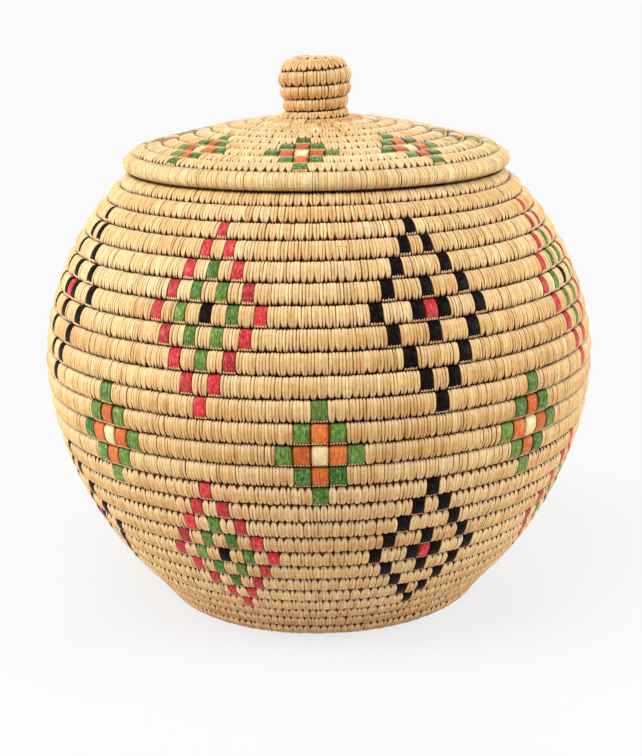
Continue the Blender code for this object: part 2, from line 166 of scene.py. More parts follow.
@dataclass(frozen=True)
class GrassStrandFinish:
    """Split grass, sun dried and pulled tight: pale straw with a faint waxy skin and soft fibre lines.

    dark, straw and pale are the grass itself, rosy its warmer stems, groove the painted shade between strands,
    tucked the dirt and painted shade at their tucked ends in the seams, and the near-black colour after it the
    painted shadow in the gap under the lid's rim; shoulder is the painted highlight on the upper bend, and
    lower_end the strand's lower end. strand_shift keeps one strand's pattern apart from the next one's.
    """

    name: str = "split_grass_strand"
    dark: str = "#B8803C"
    straw: str = "#E1BA78"
    pale: str = "#F1DBA5"
    rosy: str = "#D89860"
    groove: str = "#944A0C"
    tucked: str = "#5E2A06"
    rim_gap_shadow: str = "#1E0803"
    shoulder: str = "#F0DCB2"
    lower_end: str = "#E6C09A"
    fibres_across: float = 5.0
    streaks_along: float = 5.0
    freckles: float = 650.0
    strand_shift: float = 91.0
    fibre_height: float = 0.04
    specular: float = 0.22

    def material(self) -> bpy.types.Material:
        """Make the material of the sewing strands.

        Returns:
            The node material.
        """
        material, (across, along, tone, warmth, seed, grime_and_shade) = new_material(self.name, "strand", "lay")
        tree = material.node_tree
        ramp = add_node(tree, "ShaderNodeValToRGB", {"Fac": tone})
        elements = ramp.color_ramp.elements
        elements.new(0.45)
        for element, place, colour in zip(elements, (0.0, 0.45, 1.0), (self.dark, self.straw, self.pale)):
            element.position, element.color = place, linear(colour)

        # Fibres run the length of the strand: five across its 1.1 mm, in streaks of about 2.2 mm, five to its 11 mm
        fibres = pattern_place(tree, (across, self.fibres_across / 2.0), (along, self.streaks_along),
                               (seed, self.strand_shift))
        grain = add_node(tree, "ShaderNodeTexNoise", {"Vector": fibres, "Scale": 1.0, "Detail": 3.0}).outputs["Fac"]
        # Freckles of about 1.5 mm from weathering, by the place in the basket: 650 to the metre
        spot = add_node(tree, "ShaderNodeTexCoord").outputs["Object"]
        freckles = add_node(tree, "ShaderNodeTexNoise", {"Vector": spot, "Scale": self.freckles, "Detail": 3.0})
        side = add_node(tree, "ShaderNodeMath", {0: across}, operation="ABSOLUTE")
        # Each span has its name, the value it follows, that value's range, and the range that it is turned to
        spans = {}
        for name, value, low, high, first, last in (
            ("grain", grain, 0.3, 0.7, 0.8, 1.1),
            ("freckles", freckles.outputs["Fac"], 0.35, 0.65, 0.87, 1.08),
            ("upper bend", along, 0.14, 0.45, 0.6, 0.0),
            ("lower end", along, 0.58, 0.86, 0.0, 0.6),
            ("edge", side.outputs[0], 0.62, 0.98, 0.0, 1.0),
            ("open end", along, 0.5, 0.85, 0.45, 0.97),
            ("rim_gap_shadow", grime_and_shade, 0.965, 0.99, 0.0, 1.0),
            ("roughness", grain, 0.0, 1.0, 0.68, 0.46),
        ):
            spans[name] = add_node(tree, "ShaderNodeMapRange", {
                "Value": value, "From Min": low, "From Max": high, "To Min": first, "To Max": last}).outputs[0]
        groove = add_node(tree, "ShaderNodeMath", {0: spans["edge"], 1: spans["open end"]}, operation="MULTIPLY")
        # Brown is dirt and painted shade in the seams; near black is the painted shadow of the gap under the lid's rim
        dust_and_shade = add_node(tree, "ShaderNodeMix", {"Factor": spans["rim_gap_shadow"], "A": linear(self.tucked),
                                                "B": linear(self.rim_gap_shadow)}, data_type="RGBA")
        # The upper bend is pale with painted highlight, the lower end is rosy, the sides take the groove's painted
        # shade, and both tucked ends are darkened with dirt and painted shade
        colour = ramp.outputs["Color"]
        for blend, factor, over in (
            ("MIX", warmth, linear(self.rosy)),
            ("MULTIPLY", 1.0, spans["grain"]),
            ("MULTIPLY", 1.0, spans["freckles"]),
            ("MIX", spans["upper bend"], linear(self.shoulder)),
            ("MIX", spans["lower end"], linear(self.lower_end)),
            ("MIX", groove.outputs[0], linear(self.groove)),
            ("MIX", grime_and_shade, dust_and_shade.outputs["Result"]),
        ):
            colour = add_node(tree, "ShaderNodeMix", {"Factor": factor, "A": colour, "B": over}, data_type="RGBA",
                              blend_type=blend).outputs["Result"]
        bump = add_node(tree, "ShaderNodeBump", {"Height": grain, "Strength": 0.6, "Distance": self.fibre_height * MM})
        feed(tree, tree.nodes["Principled BSDF"], {
            "Base Color": colour, "Roughness": spans["roughness"], "Normal": bump.outputs["Normal"],
            "Specular IOR Level": self.specular})
        return material


@dataclass(frozen=True)
class DyedStrapFinish:
    """Grass strap boiled in dye: deep colour with lighter flecks, darker veins and a soft waxy gloss.

    colour and other are the dye's two batches, flecks is how strongly the flecks show, gloss the roughness that
    the strap's own starts from, and shine the strength of its reflection. side is the painted shade along the
    strap's edges and at its tucked ends. width and length, from seam to seam, are a strap's usual size.
    """

    name: str
    colour: str
    other: str
    fleck: str
    vein: str
    gloss: float
    flecks: float
    side: str = "#1E0E06"
    shine: float = 0.18
    width: float = 5.5
    length: float = 8.0
    strap_shift: float = 173.0
    vein_height: float = 0.08

    def material(self) -> bpy.types.Material:
        """Make the material of one dye.

        Returns:
            The node material.
        """
        material, (across, along, tone, _, seed, grime_and_shade) = new_material(self.name, "strand", "lay")
        tree = material.node_tree
        # These are coordinates in millimetres: veins lie about 0.3 mm apart and run 2 mm, and flecks are 1 mm
        spot = pattern_place(tree, (across, self.width / 2.0), (along, self.length), (seed, self.strap_shift))
        fine = add_node(tree, "ShaderNodeMapping", {"Vector": spot, "Scale": (3.6, 0.5, 1.0)}).outputs[0]
        veins = add_node(tree, "ShaderNodeTexNoise", {"Vector": fine, "Scale": 1.0, "Detail": 3.0}).outputs["Fac"]
        blotches = add_node(tree, "ShaderNodeTexNoise", {"Vector": spot, "Scale": 1.1, "Detail": 5.0,
                                                         "Roughness": 0.65}).outputs["Fac"]
        side = add_node(tree, "ShaderNodeMath", {0: across}, operation="ABSOLUTE")
        # Each span has its name, the value it follows, that value's range, and the range that it is turned to
        spans = {}
        for name, value, low, high, first, last in (
            ("veins", veins, 0.42, 0.62, 0.0, 0.75),
            ("flecks", blotches, 0.48, 0.66, 0.0, self.flecks),
            ("depth", tone, 0.0, 1.0, 0.72, 1.08),
            ("crease", side.outputs[0], 0.8, 1.0, 0.0, 0.75),
            ("roughness", blotches, 0.0, 1.0, self.gloss + 0.2, self.gloss - 0.08),
        ):
            spans[name] = add_node(tree, "ShaderNodeMapRange", {
                "Value": value, "From Min": low, "From Max": high, "To Min": first, "To Max": last}).outputs[0]
        # Painted shade: the strap's edges (crease) and its tucked ends are darkened towards side
        colour = linear(self.colour)
        for blend, factor, over in (
            ("MIX", seed, linear(self.other)),
            ("MIX", spans["veins"], linear(self.vein)),
            ("MIX", spans["flecks"], linear(self.fleck)),
            ("MULTIPLY", 1.0, spans["depth"]),
            ("MIX", spans["crease"], linear(self.side)),
            ("MIX", grime_and_shade, linear(self.side)),
        ):
            colour = add_node(tree, "ShaderNodeMix", {"Factor": factor, "A": colour, "B": over}, data_type="RGBA",
                              blend_type=blend).outputs["Result"]
        bump = add_node(tree, "ShaderNodeBump", {"Height": veins, "Strength": 0.7, "Distance": self.vein_height * MM})
        feed(tree, tree.nodes["Principled BSDF"], {
            "Base Color": colour, "Roughness": spans["roughness"], "Normal": bump.outputs["Normal"],
            "Specular IOR Level": self.shine})
        return material


@dataclass(frozen=True)
class GrassBundleFinish:
    """Bundle of thin grass stems inside a row, coloured dark brown as painted shade, for it shows only deep between
    the strands.
    """

    name: str = "grass_bundle"
    stem: str = "#8A4612"
    shade: str = "#542406"
    stems_round: float = 26.0
    bends_per_mm: float = 0.06
    stem_height: float = 0.3
    roughness: float = 0.85
    specular: float = 0.15

    def material(self) -> bpy.types.Material:
        """Make the material of the bundles.

        Returns:
            The node material.
        """
        material, (along_mm, around, _) = new_material(self.name, "stems")
        tree = material.node_tree
        # Stems are about 0.9 mm thick and run along the row, so they show as lines round its section
        spot = pattern_place(tree, (along_mm, self.bends_per_mm), (around, self.stems_round))
        stems = add_node(tree, "ShaderNodeTexNoise", {"Vector": spot, "Scale": 1.0, "Detail": 3.0}).outputs["Fac"]
        # Painted shade: both colours are dark browns, for the bundle seen in the shaded gaps between the strands
        ramp = add_node(tree, "ShaderNodeValToRGB", {"Fac": stems})
        for element, place, colour in zip(ramp.color_ramp.elements, (0.35, 0.7), (self.shade, self.stem)):
            element.position, element.color = place, linear(colour)
        bump = add_node(tree, "ShaderNodeBump", {"Height": stems, "Strength": 0.8, "Distance": self.stem_height * MM})
        feed(tree, tree.nodes["Principled BSDF"], {
            "Base Color": ramp.outputs["Color"], "Normal": bump.outputs["Normal"], "Roughness": self.roughness,
            "Specular IOR Level": self.specular})
        return material


# The four dyes in the order of Dye, after the undyed grass
DYED_STRAPS = (
    DyedStrapFinish("red_dyed_grass", "#C41E28", "#D8343C", "#EE8680", "#8A0C16", 0.36, 0.5),
    DyedStrapFinish("green_dyed_grass", "#376A1A", "#75943A", "#A6C478", "#183C0A", 0.36, 0.55),
    # The black dye's pale flecks are painted glints on the dark strap
    DyedStrapFinish("black_dyed_grass", "#090606", "#100B0A", "#544840", "#020101", 0.38, 0.22, shine=0.05),
    DyedStrapFinish("orange_dyed_grass", "#D0601E", "#E07A34", "#EE9E60", "#A03A0C", 0.38, 0.5),
)


@dataclass
class Palette:
    """The finished materials, one of each."""

    strand: bpy.types.Material = field(default_factory=GrassStrandFinish().material)
    bundle: bpy.types.Material = field(default_factory=GrassBundleFinish().material)
    dyed: list[bpy.types.Material] = field(default_factory=lambda: [finish.material() for finish in DYED_STRAPS])

    def strap_materials(self) -> list[bpy.types.Material]:
        """Return the straps' materials in the order of Dye."""
        return [self.strand, *self.dyed]


@dataclass(frozen=True)
class StitchProfile:
    """How a strand lies across a row, ring by ring from its tucked upper end to its lower end.

    across_row is the place across the row as a share of half its width, drop is how far the strand lies below
    the row's crest as a share of the valley's depth, width is a share of the strand's full width, pull is how
    much of the pull towards the middle of its group it has there, ragged is how much of the strand's own
    difference in length shows there, and dust is how dark it is there: dirt and painted shade where it tucks
    into a seam, and painted shadow where the lid's rim sits on the mouth.
    """

    across_row: tuple[float, ...]
    drop: tuple[float, ...]
    width: tuple[float, ...]
    pull: tuple[float, ...]
    ragged: tuple[float, ...]
    dust_and_shade: tuple[float, ...]

    @property
    def rings(self) -> int:
        """Return how many rings the strand has."""
        return len(self.across_row)


# The darkening at both tucked ends is dirt and painted shade in the seams
SEWN = StitchProfile(
    across_row=(-1.0, -0.935, -0.79, -0.38, 0.12, 0.52, 0.80, 0.97, 1.06),
    drop=(1.5, 0.76, 0.35, 0.06, 0.0, 0.14, 0.42, 0.75, 1.4),
    width=(0.55, 0.92, 1.04, 1.05, 1.05, 1.0, 0.84, 0.56, 0.36),
    pull=(-0.1, 0.0, 0.0, 0.0, 0.0, 0.15, 0.6, 1.0, 1.15),
    ragged=(0.6, 0.6, 0.3, 0.0, 0.0, 0.0, 0.4, 1.0, 1.0),
    dust_and_shade=(0.95, 0.2, 0.0, 0.0, 0.0, 0.0, 0.0, 0.16, 0.95),
)
# The mouth row's upper end is near black: painted shadow of the gap under the lid's rim
MOUTH = replace(SEWN, dust_and_shade=(1.0, 1.0, 0.99, 0.0, 0.0, 0.0, 0.0, 0.16, 0.95))
LOW = replace(
    SEWN,
    across_row=(-1.0, -0.9, -0.6, -0.3, 0.12, 0.52, 0.80, 0.97, 1.06),
    drop=(1.5, 0.62, 0.18, 0.04, 0.0, 0.14, 0.42, 0.75, 1.4),
    width=(0.5, 0.74, 1.06, 1.12, 1.1, 1.04, 0.92, 0.66, 0.42),
    pull=(1.25, 1.05, 0.2, 0.0, 0.0, 0.0, 0.3, 0.9, 1.0),
)
DOME = replace(SEWN, width=(0.55, 0.92, 1.12, 1.2, 1.2, 1.16, 1.0, 0.76, 0.45))
INNER = StitchProfile(
    across_row=(-1.04, -0.55, 0.0, 0.55, 1.04),
    drop=(1.2, 0.2, 0.0, 0.2, 1.2),
    width=(0.8, 1.0, 1.0, 1.0, 0.8),
    pull=(0.6, 0.0, 0.0, 0.0, 0.6),
    ragged=(0.0,) * 5,
    dust_and_shade=(0.9, 0.1, 0.0, 0.1, 0.9),
)
STRAP = StitchProfile(
    across_row=(-0.99, -0.92, -0.77, -0.38, 0.12, 0.52, 0.78, 0.9, 0.97),
    drop=(1.5, 0.78, 0.36, 0.06, 0.0, 0.14, 0.40, 0.7, 1.3),
    width=(0.93, 0.97, 1.0, 1.0, 1.0, 1.0, 0.98, 0.95, 0.88),
    pull=(0.0,) * 9,
    ragged=(0.0,) * 9,
    dust_and_shade=(0.95, 0.35, 0.05, 0.0, 0.0, 0.0, 0.05, 0.35, 0.95),
)
SHORT_END = StitchProfile(
    across_row=(0.76, 0.86, 0.94, 0.99, 1.04),
    drop=(0.42, 0.46, 0.6, 0.84, 1.4),
    width=(0.15, 0.6, 0.95, 1.0, 0.6),
    pull=(0.0, 0.0, 0.2, 0.5, 0.6),
    ragged=(1.5, 0.6, 0.3, 0.0, 0.0),
    dust_and_shade=(0.0, 0.0, 0.0, 0.2, 0.95),
)


def turned(profile: StitchProfile) -> StitchProfile:
    """Return a profile for a coil that runs upwards, so that the strands' lower ends still point down."""
    return replace(profile, across_row=tuple(-place for place in profile.across_row))


def wound(angles: np.ndarray, pull: tuple[float, ...], dust_and_shade: tuple[float, ...]) -> StitchProfile:
    """Return the profile of a strand that is wound round a roll.

    Args:
        angles: Where its rings lie round the roll's section, as shares of half a turn.
        pull: Pull at each ring.
        dust_and_shade: Darkening at each ring, from dirt and painted shade.

    Returns:
        The profile.
    """
    level = (0.0,) * len(angles)
    return StitchProfile(tuple(angles), level, (1.04,) * len(angles), pull, level, dust_and_shade)


class Template:
    """One strand, strap or short end, modelled straight: X across it, Y from ring to ring, Z up from its back."""

    SOFT_EDGE = 0.3

    def __init__(self, name: str, rings: int, flat: bool = False) -> None:
        """Model the straight piece.

        Args:
            name: Name while it is modelled.
            rings: Number of rings from end to end.
            flat: Whether it is a wide strap with soft edges, or a narrow strand with one ridge.
        """
        half_length = (rings - 1) / 2.0
        bpy.ops.object.select_all(action="DESELECT")
        if flat:
            bpy.ops.mesh.primitive_cube_add(size=2.0)
            piece = bpy.context.object
            bpy.ops.object.mode_set(mode="EDIT")
            bpy.ops.mesh.select_all(action="SELECT")
            bpy.ops.transform.translate(value=(0.0, 0.0, -1.0))
            bpy.ops.transform.resize(value=(1.0, half_length, 0.5), center_override=(0.0, 0.0, 0.0))
            bpy.ops.mesh.select_mode(type="EDGE")
            bpy.ops.mesh.select_all(action="DESELECT")
            bpy.ops.object.mode_set(mode="OBJECT")
            # The strap's two long upper edges are bevelled
            for edge in piece.data.edges:
                ends = [piece.data.vertices[index].co for index in edge.vertices]
                edge.select = all(end.z > -0.01 for end in ends) and abs(ends[0].x - ends[1].x) < 0.01
            bpy.ops.object.mode_set(mode="EDIT")
            bpy.ops.mesh.bevel(offset=self.SOFT_EDGE, offset_type="OFFSET", segments=2, affect="EDGES")
        else:
            bpy.ops.mesh.primitive_cylinder_add(vertices=3, radius=1.0, depth=rings - 1.0,
                                                rotation=(math.pi / 2.0, 0.0, 0.0))
            bpy.ops.object.transform_apply(location=False, rotation=True, scale=False)
            piece = bpy.context.object
            bpy.ops.object.mode_set(mode="EDIT")
        bpy.ops.mesh.select_all(action="SELECT")
        for ring in range(1, rings - 1):
            bpy.ops.mesh.bisect(plane_co=(0.0, ring - half_length, 0.0), plane_no=(0.0, 1.0, 0.0))
            bpy.ops.mesh.select_all(action="SELECT")
        bpy.ops.mesh.normals_make_consistent(inside=False)
        bpy.ops.object.mode_set(mode="OBJECT")
        piece.name = name
        corners = np.array([vertex.co for vertex in piece.data.vertices])
        # A bevel leaves corners and faces in an order that can change from run to run, so both are sorted
        order = np.lexsort(np.round(corners, 3).T)
        corners, places = corners[order], np.argsort(order)
        self.ring = np.rint(corners[:, 1] + half_length).astype(int)
        section = corners[:, [0, 2]]
        low, high = section.min(0), section.max(0)
        self.across = (section[:, 0] - low[0]) / (high[0] - low[0]) * 2.0 - 1.0
        self.raised = (section[:, 1] - high[1]) / (high[1] - low[1])
        self.crease = np.where(self.raised < -0.99, np.sign(self.across), 0.0)
        self.rings = rings
        self.faces = sorted([int(places[index]) for index in polygon.vertices] for polygon in piece.data.polygons)
        self.face_uv = self.lay_out()
        bpy.data.objects.remove(piece, do_unlink=True)

    def lay_out(self) -> list[list[tuple[float, float]]]:
        """Work out where each face corner goes in the piece's own cell of the baked map.

        The sides are unrolled side by side, and the two end faces are small discs below and above them.

        Returns:
            Places in the cell for each face's corners.
        """
        turn = [round(float(value), 3) for value in np.arctan2(self.raised + 0.45, self.across)]
        order = {mark: number for number, mark in enumerate(sorted(set(turn)))}
        slot = [order[mark] for mark in turn]
        faces = []
        for face in self.faces:
            rings = {int(self.ring[index]) for index in face}
            corners = []
            if len(rings) == 1:
                level = 0.015 if rings == {0} else 0.985
                for number in range(len(face)):
                    lean = number / len(face) * TURN
                    corners.append((0.5 + 0.4 * math.cos(lean), level + 0.012 * math.sin(lean)))
            else:
                slots = sorted({slot[index] for index in face})
                first = slots[0] if slots[1] - slots[0] == 1 and len(slots) == 2 else slots[-1]
                for index in face:
                    step = 0.0 if slot[index] == first else 1.0
                    corners.append(((first + step) / len(order), 0.04 + 0.92 * self.ring[index] / (self.rings - 1)))
            faces.append(corners)
        return faces


@dataclass
class Lots:
    """Many strands of one kind, each value an array with one number per strand."""

    turn: np.ndarray
    width: np.ndarray
    pull: np.ndarray
    slant: np.ndarray
    lift: np.ndarray
    tone: np.ndarray
    warmth: np.ndarray
    seed: np.ndarray
    grime_and_shade: np.ndarray
    ragged: np.ndarray
    dye: np.ndarray


class RowPath:
    """The run of one coil: where its middle is, how wide its row is, and which way is out."""

    LEAST_RADIUS = 0.05
    direction: float = 1.0
    end_angle: float = 0.0

    def angle(self, turn: np.ndarray) -> np.ndarray:
        """Return the angle round the axis, from the front towards the right."""
        return self.end_angle - self.direction * TURN * turn

    def half_width(self, turn: np.ndarray) -> np.ndarray:
        """Return half the width of the row."""
        raise NotImplementedError

    def reach(self, turn: np.ndarray) -> np.ndarray:
        """Return the radius at the row's middle, which turns a length round the basket to an angle."""
        raise NotImplementedError

    def point(self, turn: np.ndarray, across: np.ndarray) -> tuple[np.ndarray, ...]:
        """Return radius and height on the middle line, and the radial and upward parts of the way out."""
        raise NotImplementedError

    def place(self, turn: np.ndarray, across: np.ndarray, height: np.ndarray, theta: np.ndarray) -> np.ndarray:
        """Work out points on or in a row.

        Args:
            turn: Places along the coil in turns.
            across: Lengths from the row's middle along the outline.
            height: Heights over the middle line, outwards.
            theta: Angles round the axis.

        Returns:
            The points in millimetres, one to a line.
        """
        radius, level, out_r, out_z = self.point(turn, across)
        radius = np.maximum(radius + out_r * height, self.LEAST_RADIUS)
        points = [radius * np.sin(theta), -radius * np.cos(theta), level + out_z * height]
        return np.stack(points, axis=-1).reshape(-1, 3)


class Spiral(RowPath):
    """The long coil that follows an outline in from its finished edge, as the frame's coils do.

    LEAD_IN is how far the outline is drawn on past the edge, STEP the length between its points and SMOOTHED the
    number of points that its direction is averaged over. The climb is uneven round a turn, so that the edge is
    level although the coil ends there: by EDGE_SWAY at the edge, and by INNER_SWAY from SWAY_TURNS inwards.
    """

    STEPS = 360
    LEAD_IN = 12.0
    STEP = 0.2
    SMOOTHED = 9
    EDGE_SWAY = 0.8
    INNER_SWAY = 0.3
    SWAY_TURNS = 4.0

    def __init__(self, outline: list[tuple[float, float]], rows: list[tuple[float, float]], end_angle: float,
                 direction: float, outward: float) -> None:
        """Work out the spiral.

        Args:
            outline: Points (radius, height) of the middle line, from the finished edge inwards.
            rows: Counts of rows and their widths, from the edge inwards.
            end_angle: Angle round the axis where the coil ends.
            direction: Which way it winds.
            outward: One where the outside lies to the left of the way inwards, else minus one.
        """
        self.end_angle = end_angle
        self.direction = direction
        points = np.array(outline)
        lengths = np.concatenate([[0.0], np.cumsum(np.hypot(*np.diff(points, axis=0).T))])
        self.even = np.arange(-self.LEAD_IN, lengths[-1], self.STEP)
        head = (points[1] - points[0]) / lengths[1]
        before = self.even < 0.0
        lines, ways = [], []
        for axis in (0, 1):
            line = np.interp(self.even, lengths, points[:, axis])
            line[before] = points[0, axis] + head[axis] * self.even[before]
            way = np.pad(np.gradient(line, self.even), self.SMOOTHED // 2, mode="edge")
            lines.append(line)
            ways.append(np.convolve(way, np.ones(self.SMOOTHED) / self.SMOOTHED, mode="valid"))
        size = np.hypot(*ways)
        self.radius, self.height = lines
        self.out_r, self.out_z = -outward * (ways[1] / size), outward * (ways[0] / size)
        climbed = [0.0]
        while climbed[-1] < lengths[-1]:
            turn = len(climbed) / self.STEPS
            sway = self.EDGE_SWAY + (self.INNER_SWAY - self.EDGE_SWAY) * min(turn / self.SWAY_TURNS, 1.0)
            step = self.pitch_at(rows, turn) * (1.0 - sway * math.cos(self.angle(turn))) / self.STEPS
            climbed.append(climbed[-1] + step)
        self.climbed = np.array(climbed)

    @staticmethod
    def pitch_at(rows: list[tuple[float, float]], turn: float) -> float:
        """Look up the width of the row that a turn lies in.

        Args:
            rows: Counts of rows and their widths, from the edge inwards.
            turn: Place along the coil.

        Returns:
            The row's width.
        """
        passed = 0.0
        for count, pitch in rows:
            passed += count
            if turn < passed:
                return pitch
        return rows[-1][1]

    def climb(self, turn: np.ndarray) -> np.ndarray:
        """Return how far along the outline the coil's inner edge lies."""
        return np.interp(np.maximum(turn, 0.0) * self.STEPS, np.arange(len(self.climbed)), self.climbed)

    def half_width(self, turn: np.ndarray) -> np.ndarray:
        """Return half the width of the row."""
        return (self.climb(turn) - self.climb(np.asarray(turn) - 1.0)) / 2.0

    def middle(self, turn: np.ndarray) -> np.ndarray:
        """Return the length along the outline of the row's middle."""
        return (self.climb(turn) + self.climb(np.asarray(turn) - 1.0)) / 2.0

    def reach(self, turn: np.ndarray) -> np.ndarray:
        """Return the radius at the row's middle."""
        return np.maximum(np.interp(self.middle(turn), self.even, self.radius), 1.0)

    def point(self, turn: np.ndarray, across: np.ndarray) -> tuple[np.ndarray, ...]:
        """Return the place on the middle line and the way out there."""
        place = self.middle(turn) + across
        return tuple(np.interp(place, self.even, line) for line in (self.radius, self.height, self.out_r, self.out_z))

    def turn_at_radius(self, radius: float) -> float:
        """Find where the coil's middle has come in to a radius.

        Args:
            radius: The radius.

        Returns:
            The turn.
        """
        turn = 1.0
        while float(self.reach(turn)) > radius:
            turn += 1.0 / self.STEPS
        return turn

    def tail_turn(self, thickness: float) -> float:
        """Find where the thinning tail ends.

        Args:
            thickness: Width of the row there.

        Returns:
            The turn.
        """
        turn = 0.0
        while 2.0 * float(self.half_width(turn)) < thickness:
            turn += 1.0 / self.STEPS
        return turn


@dataclass
class RollPath(RowPath):
    """A level ring or helix with a round section, such as the lid's rim roll or its flange."""

    radii: np.ndarray
    heights: np.ndarray
    halves: np.ndarray
    turns: np.ndarray
    end_angle: float
    direction: float = -1.0

    def half_width(self, turn: np.ndarray) -> np.ndarray:
        """Return half the height of the roll."""
        return np.interp(turn, self.turns, self.halves)

    def reach(self, turn: np.ndarray) -> np.ndarray:
        """Return the radius of the roll's middle."""
        return np.interp(turn, self.turns, self.radii)

    def point(self, turn: np.ndarray, across: np.ndarray) -> tuple[np.ndarray, ...]:
        """Return the place on the middle line and the way out there."""
        one = np.ones_like(across + turn)
        return self.reach(turn) * one, np.interp(turn, self.turns, self.heights) - across, one, 0.0 * one


@dataclass(frozen=True)
class RowShape:
    """Size and colour of the stitched surface over a stretch of rows.

    crest is its height over the coil's middle line, valley the depth of the seams beside it, spacing the length
    from strand to strand, strand_rise a strand's thickness, pull how far a group of strands is drawn together at
    its ends, with edge_pull for the coil's first turn, warmth how rosy the grass is and paleness how pale, which
    is partly painted light: the lid and the basket's upper rows are set paler and the foot darker, as light falls
    from above.
    """

    THIN_ROW = 6.0
    THIN_CREST = 1.06

    crest: float
    valley: float
    spacing: float
    strand_rise: float = 0.28
    pull: float = 0.4
    warmth: float = 0.2
    inner_spacing: float = 1.6
    edge_pull: float | None = None
    paleness: float = 0.0

    def pull_at(self, turn: np.ndarray) -> np.ndarray:
        """Return how far strands are drawn together there."""
        edge = self.pull if self.edge_pull is None else self.edge_pull
        return np.where(np.asarray(turn) < 1.0, edge, self.pull)

    def section(self, half: np.ndarray) -> tuple[np.ndarray, np.ndarray]:
        """Return crest and valley for half a row's width, both less where the row has thinned."""
        valley = self.valley * np.minimum(half * 2.0 / self.THIN_ROW, 1.0)
        return np.minimum(self.crest, half * self.THIN_CREST + 0.05), valley


def new_piece(name: str, vertices: np.ndarray, faces: list[np.ndarray], uv: np.ndarray,
              vectors: dict[str, np.ndarray], materials: list[bpy.types.Material],
              slots: np.ndarray | None = None, creases: np.ndarray | None = None) -> bpy.types.Object:
    """Make one mesh piece from arrays, with its faces turned outwards.

    Args:
        name: Name of the piece.
        vertices: Points in millimetres.
        faces: Arrays of faces, each array for faces of one number of corners.
        uv: Baked map's place of each face corner, in the faces' order.
        vectors: Values for each point, by the name that the materials read.
        materials: The piece's materials.
        slots: Number of the material of each face.
        creases: Number of the crease that each point lies on, or 0, so that smooth shading stops there.

    Returns:
        The new object, at the origin.
    """
    loops = np.concatenate([block.reshape(-1) for block in faces])
    sizes = np.concatenate([np.full(len(block), block.shape[1]) for block in faces])
    starts = np.concatenate([[0], np.cumsum(sizes)[:-1]])
    volume = 0.0
    for block in faces:
        for corner in range(1, block.shape[1] - 1):
            a, b, c = vertices[block[:, 0]], vertices[block[:, corner]], vertices[block[:, corner + 1]]
            volume += float(np.einsum("ij,ij->", a, np.cross(b, c)))
    if volume < 0.0:
        ranks = np.arange(len(loops)) - np.repeat(starts, sizes)
        order = np.repeat(starts + sizes - 1, sizes) - ranks
        loops, uv = loops[order], uv[order]
    mesh = bpy.data.meshes.new(name)
    mesh.vertices.add(len(vertices))
    mesh.vertices.foreach_set("co", (vertices * MM).astype(np.float32).reshape(-1))
    mesh.loops.add(len(loops))
    mesh.loops.foreach_set("vertex_index", loops.astype(np.int32))
    mesh.polygons.add(len(sizes))
    mesh.polygons.foreach_set("loop_start", starts.astype(np.int32))
    mesh.polygons.foreach_set("loop_total", sizes.astype(np.int32))
    if slots is not None:
        mesh.polygons.foreach_set("material_index", slots.astype(np.int32))
    mesh.update(calc_edges=True)
    if creases is not None:
        ends = np.empty(2 * len(mesh.edges), np.int32)
        mesh.edges.foreach_get("vertices", ends)
        first, second = creases[ends.reshape(-1, 2)].T
        crease = mesh.attributes.new("sharp_edge", "BOOLEAN", "EDGE")
        crease.data.foreach_set("value", (first == second) & (first != 0))
    mesh.uv_layers.new(name="OFBake").data.foreach_set("uv", uv.astype(np.float32).reshape(-1))
    for title, values in vectors.items():
        attribute = mesh.attributes.new(title, "FLOAT_VECTOR", "POINT")
        attribute.data.foreach_set("vector", values.astype(np.float32).reshape(-1))
    mesh.polygons.foreach_set("use_smooth", np.ones(len(sizes), bool))
    for material in materials:
        mesh.materials.append(material)
    mesh.validate()
    piece = bpy.data.objects.new(name, mesh)
    bpy.context.scene.collection.objects.link(piece)
    return piece


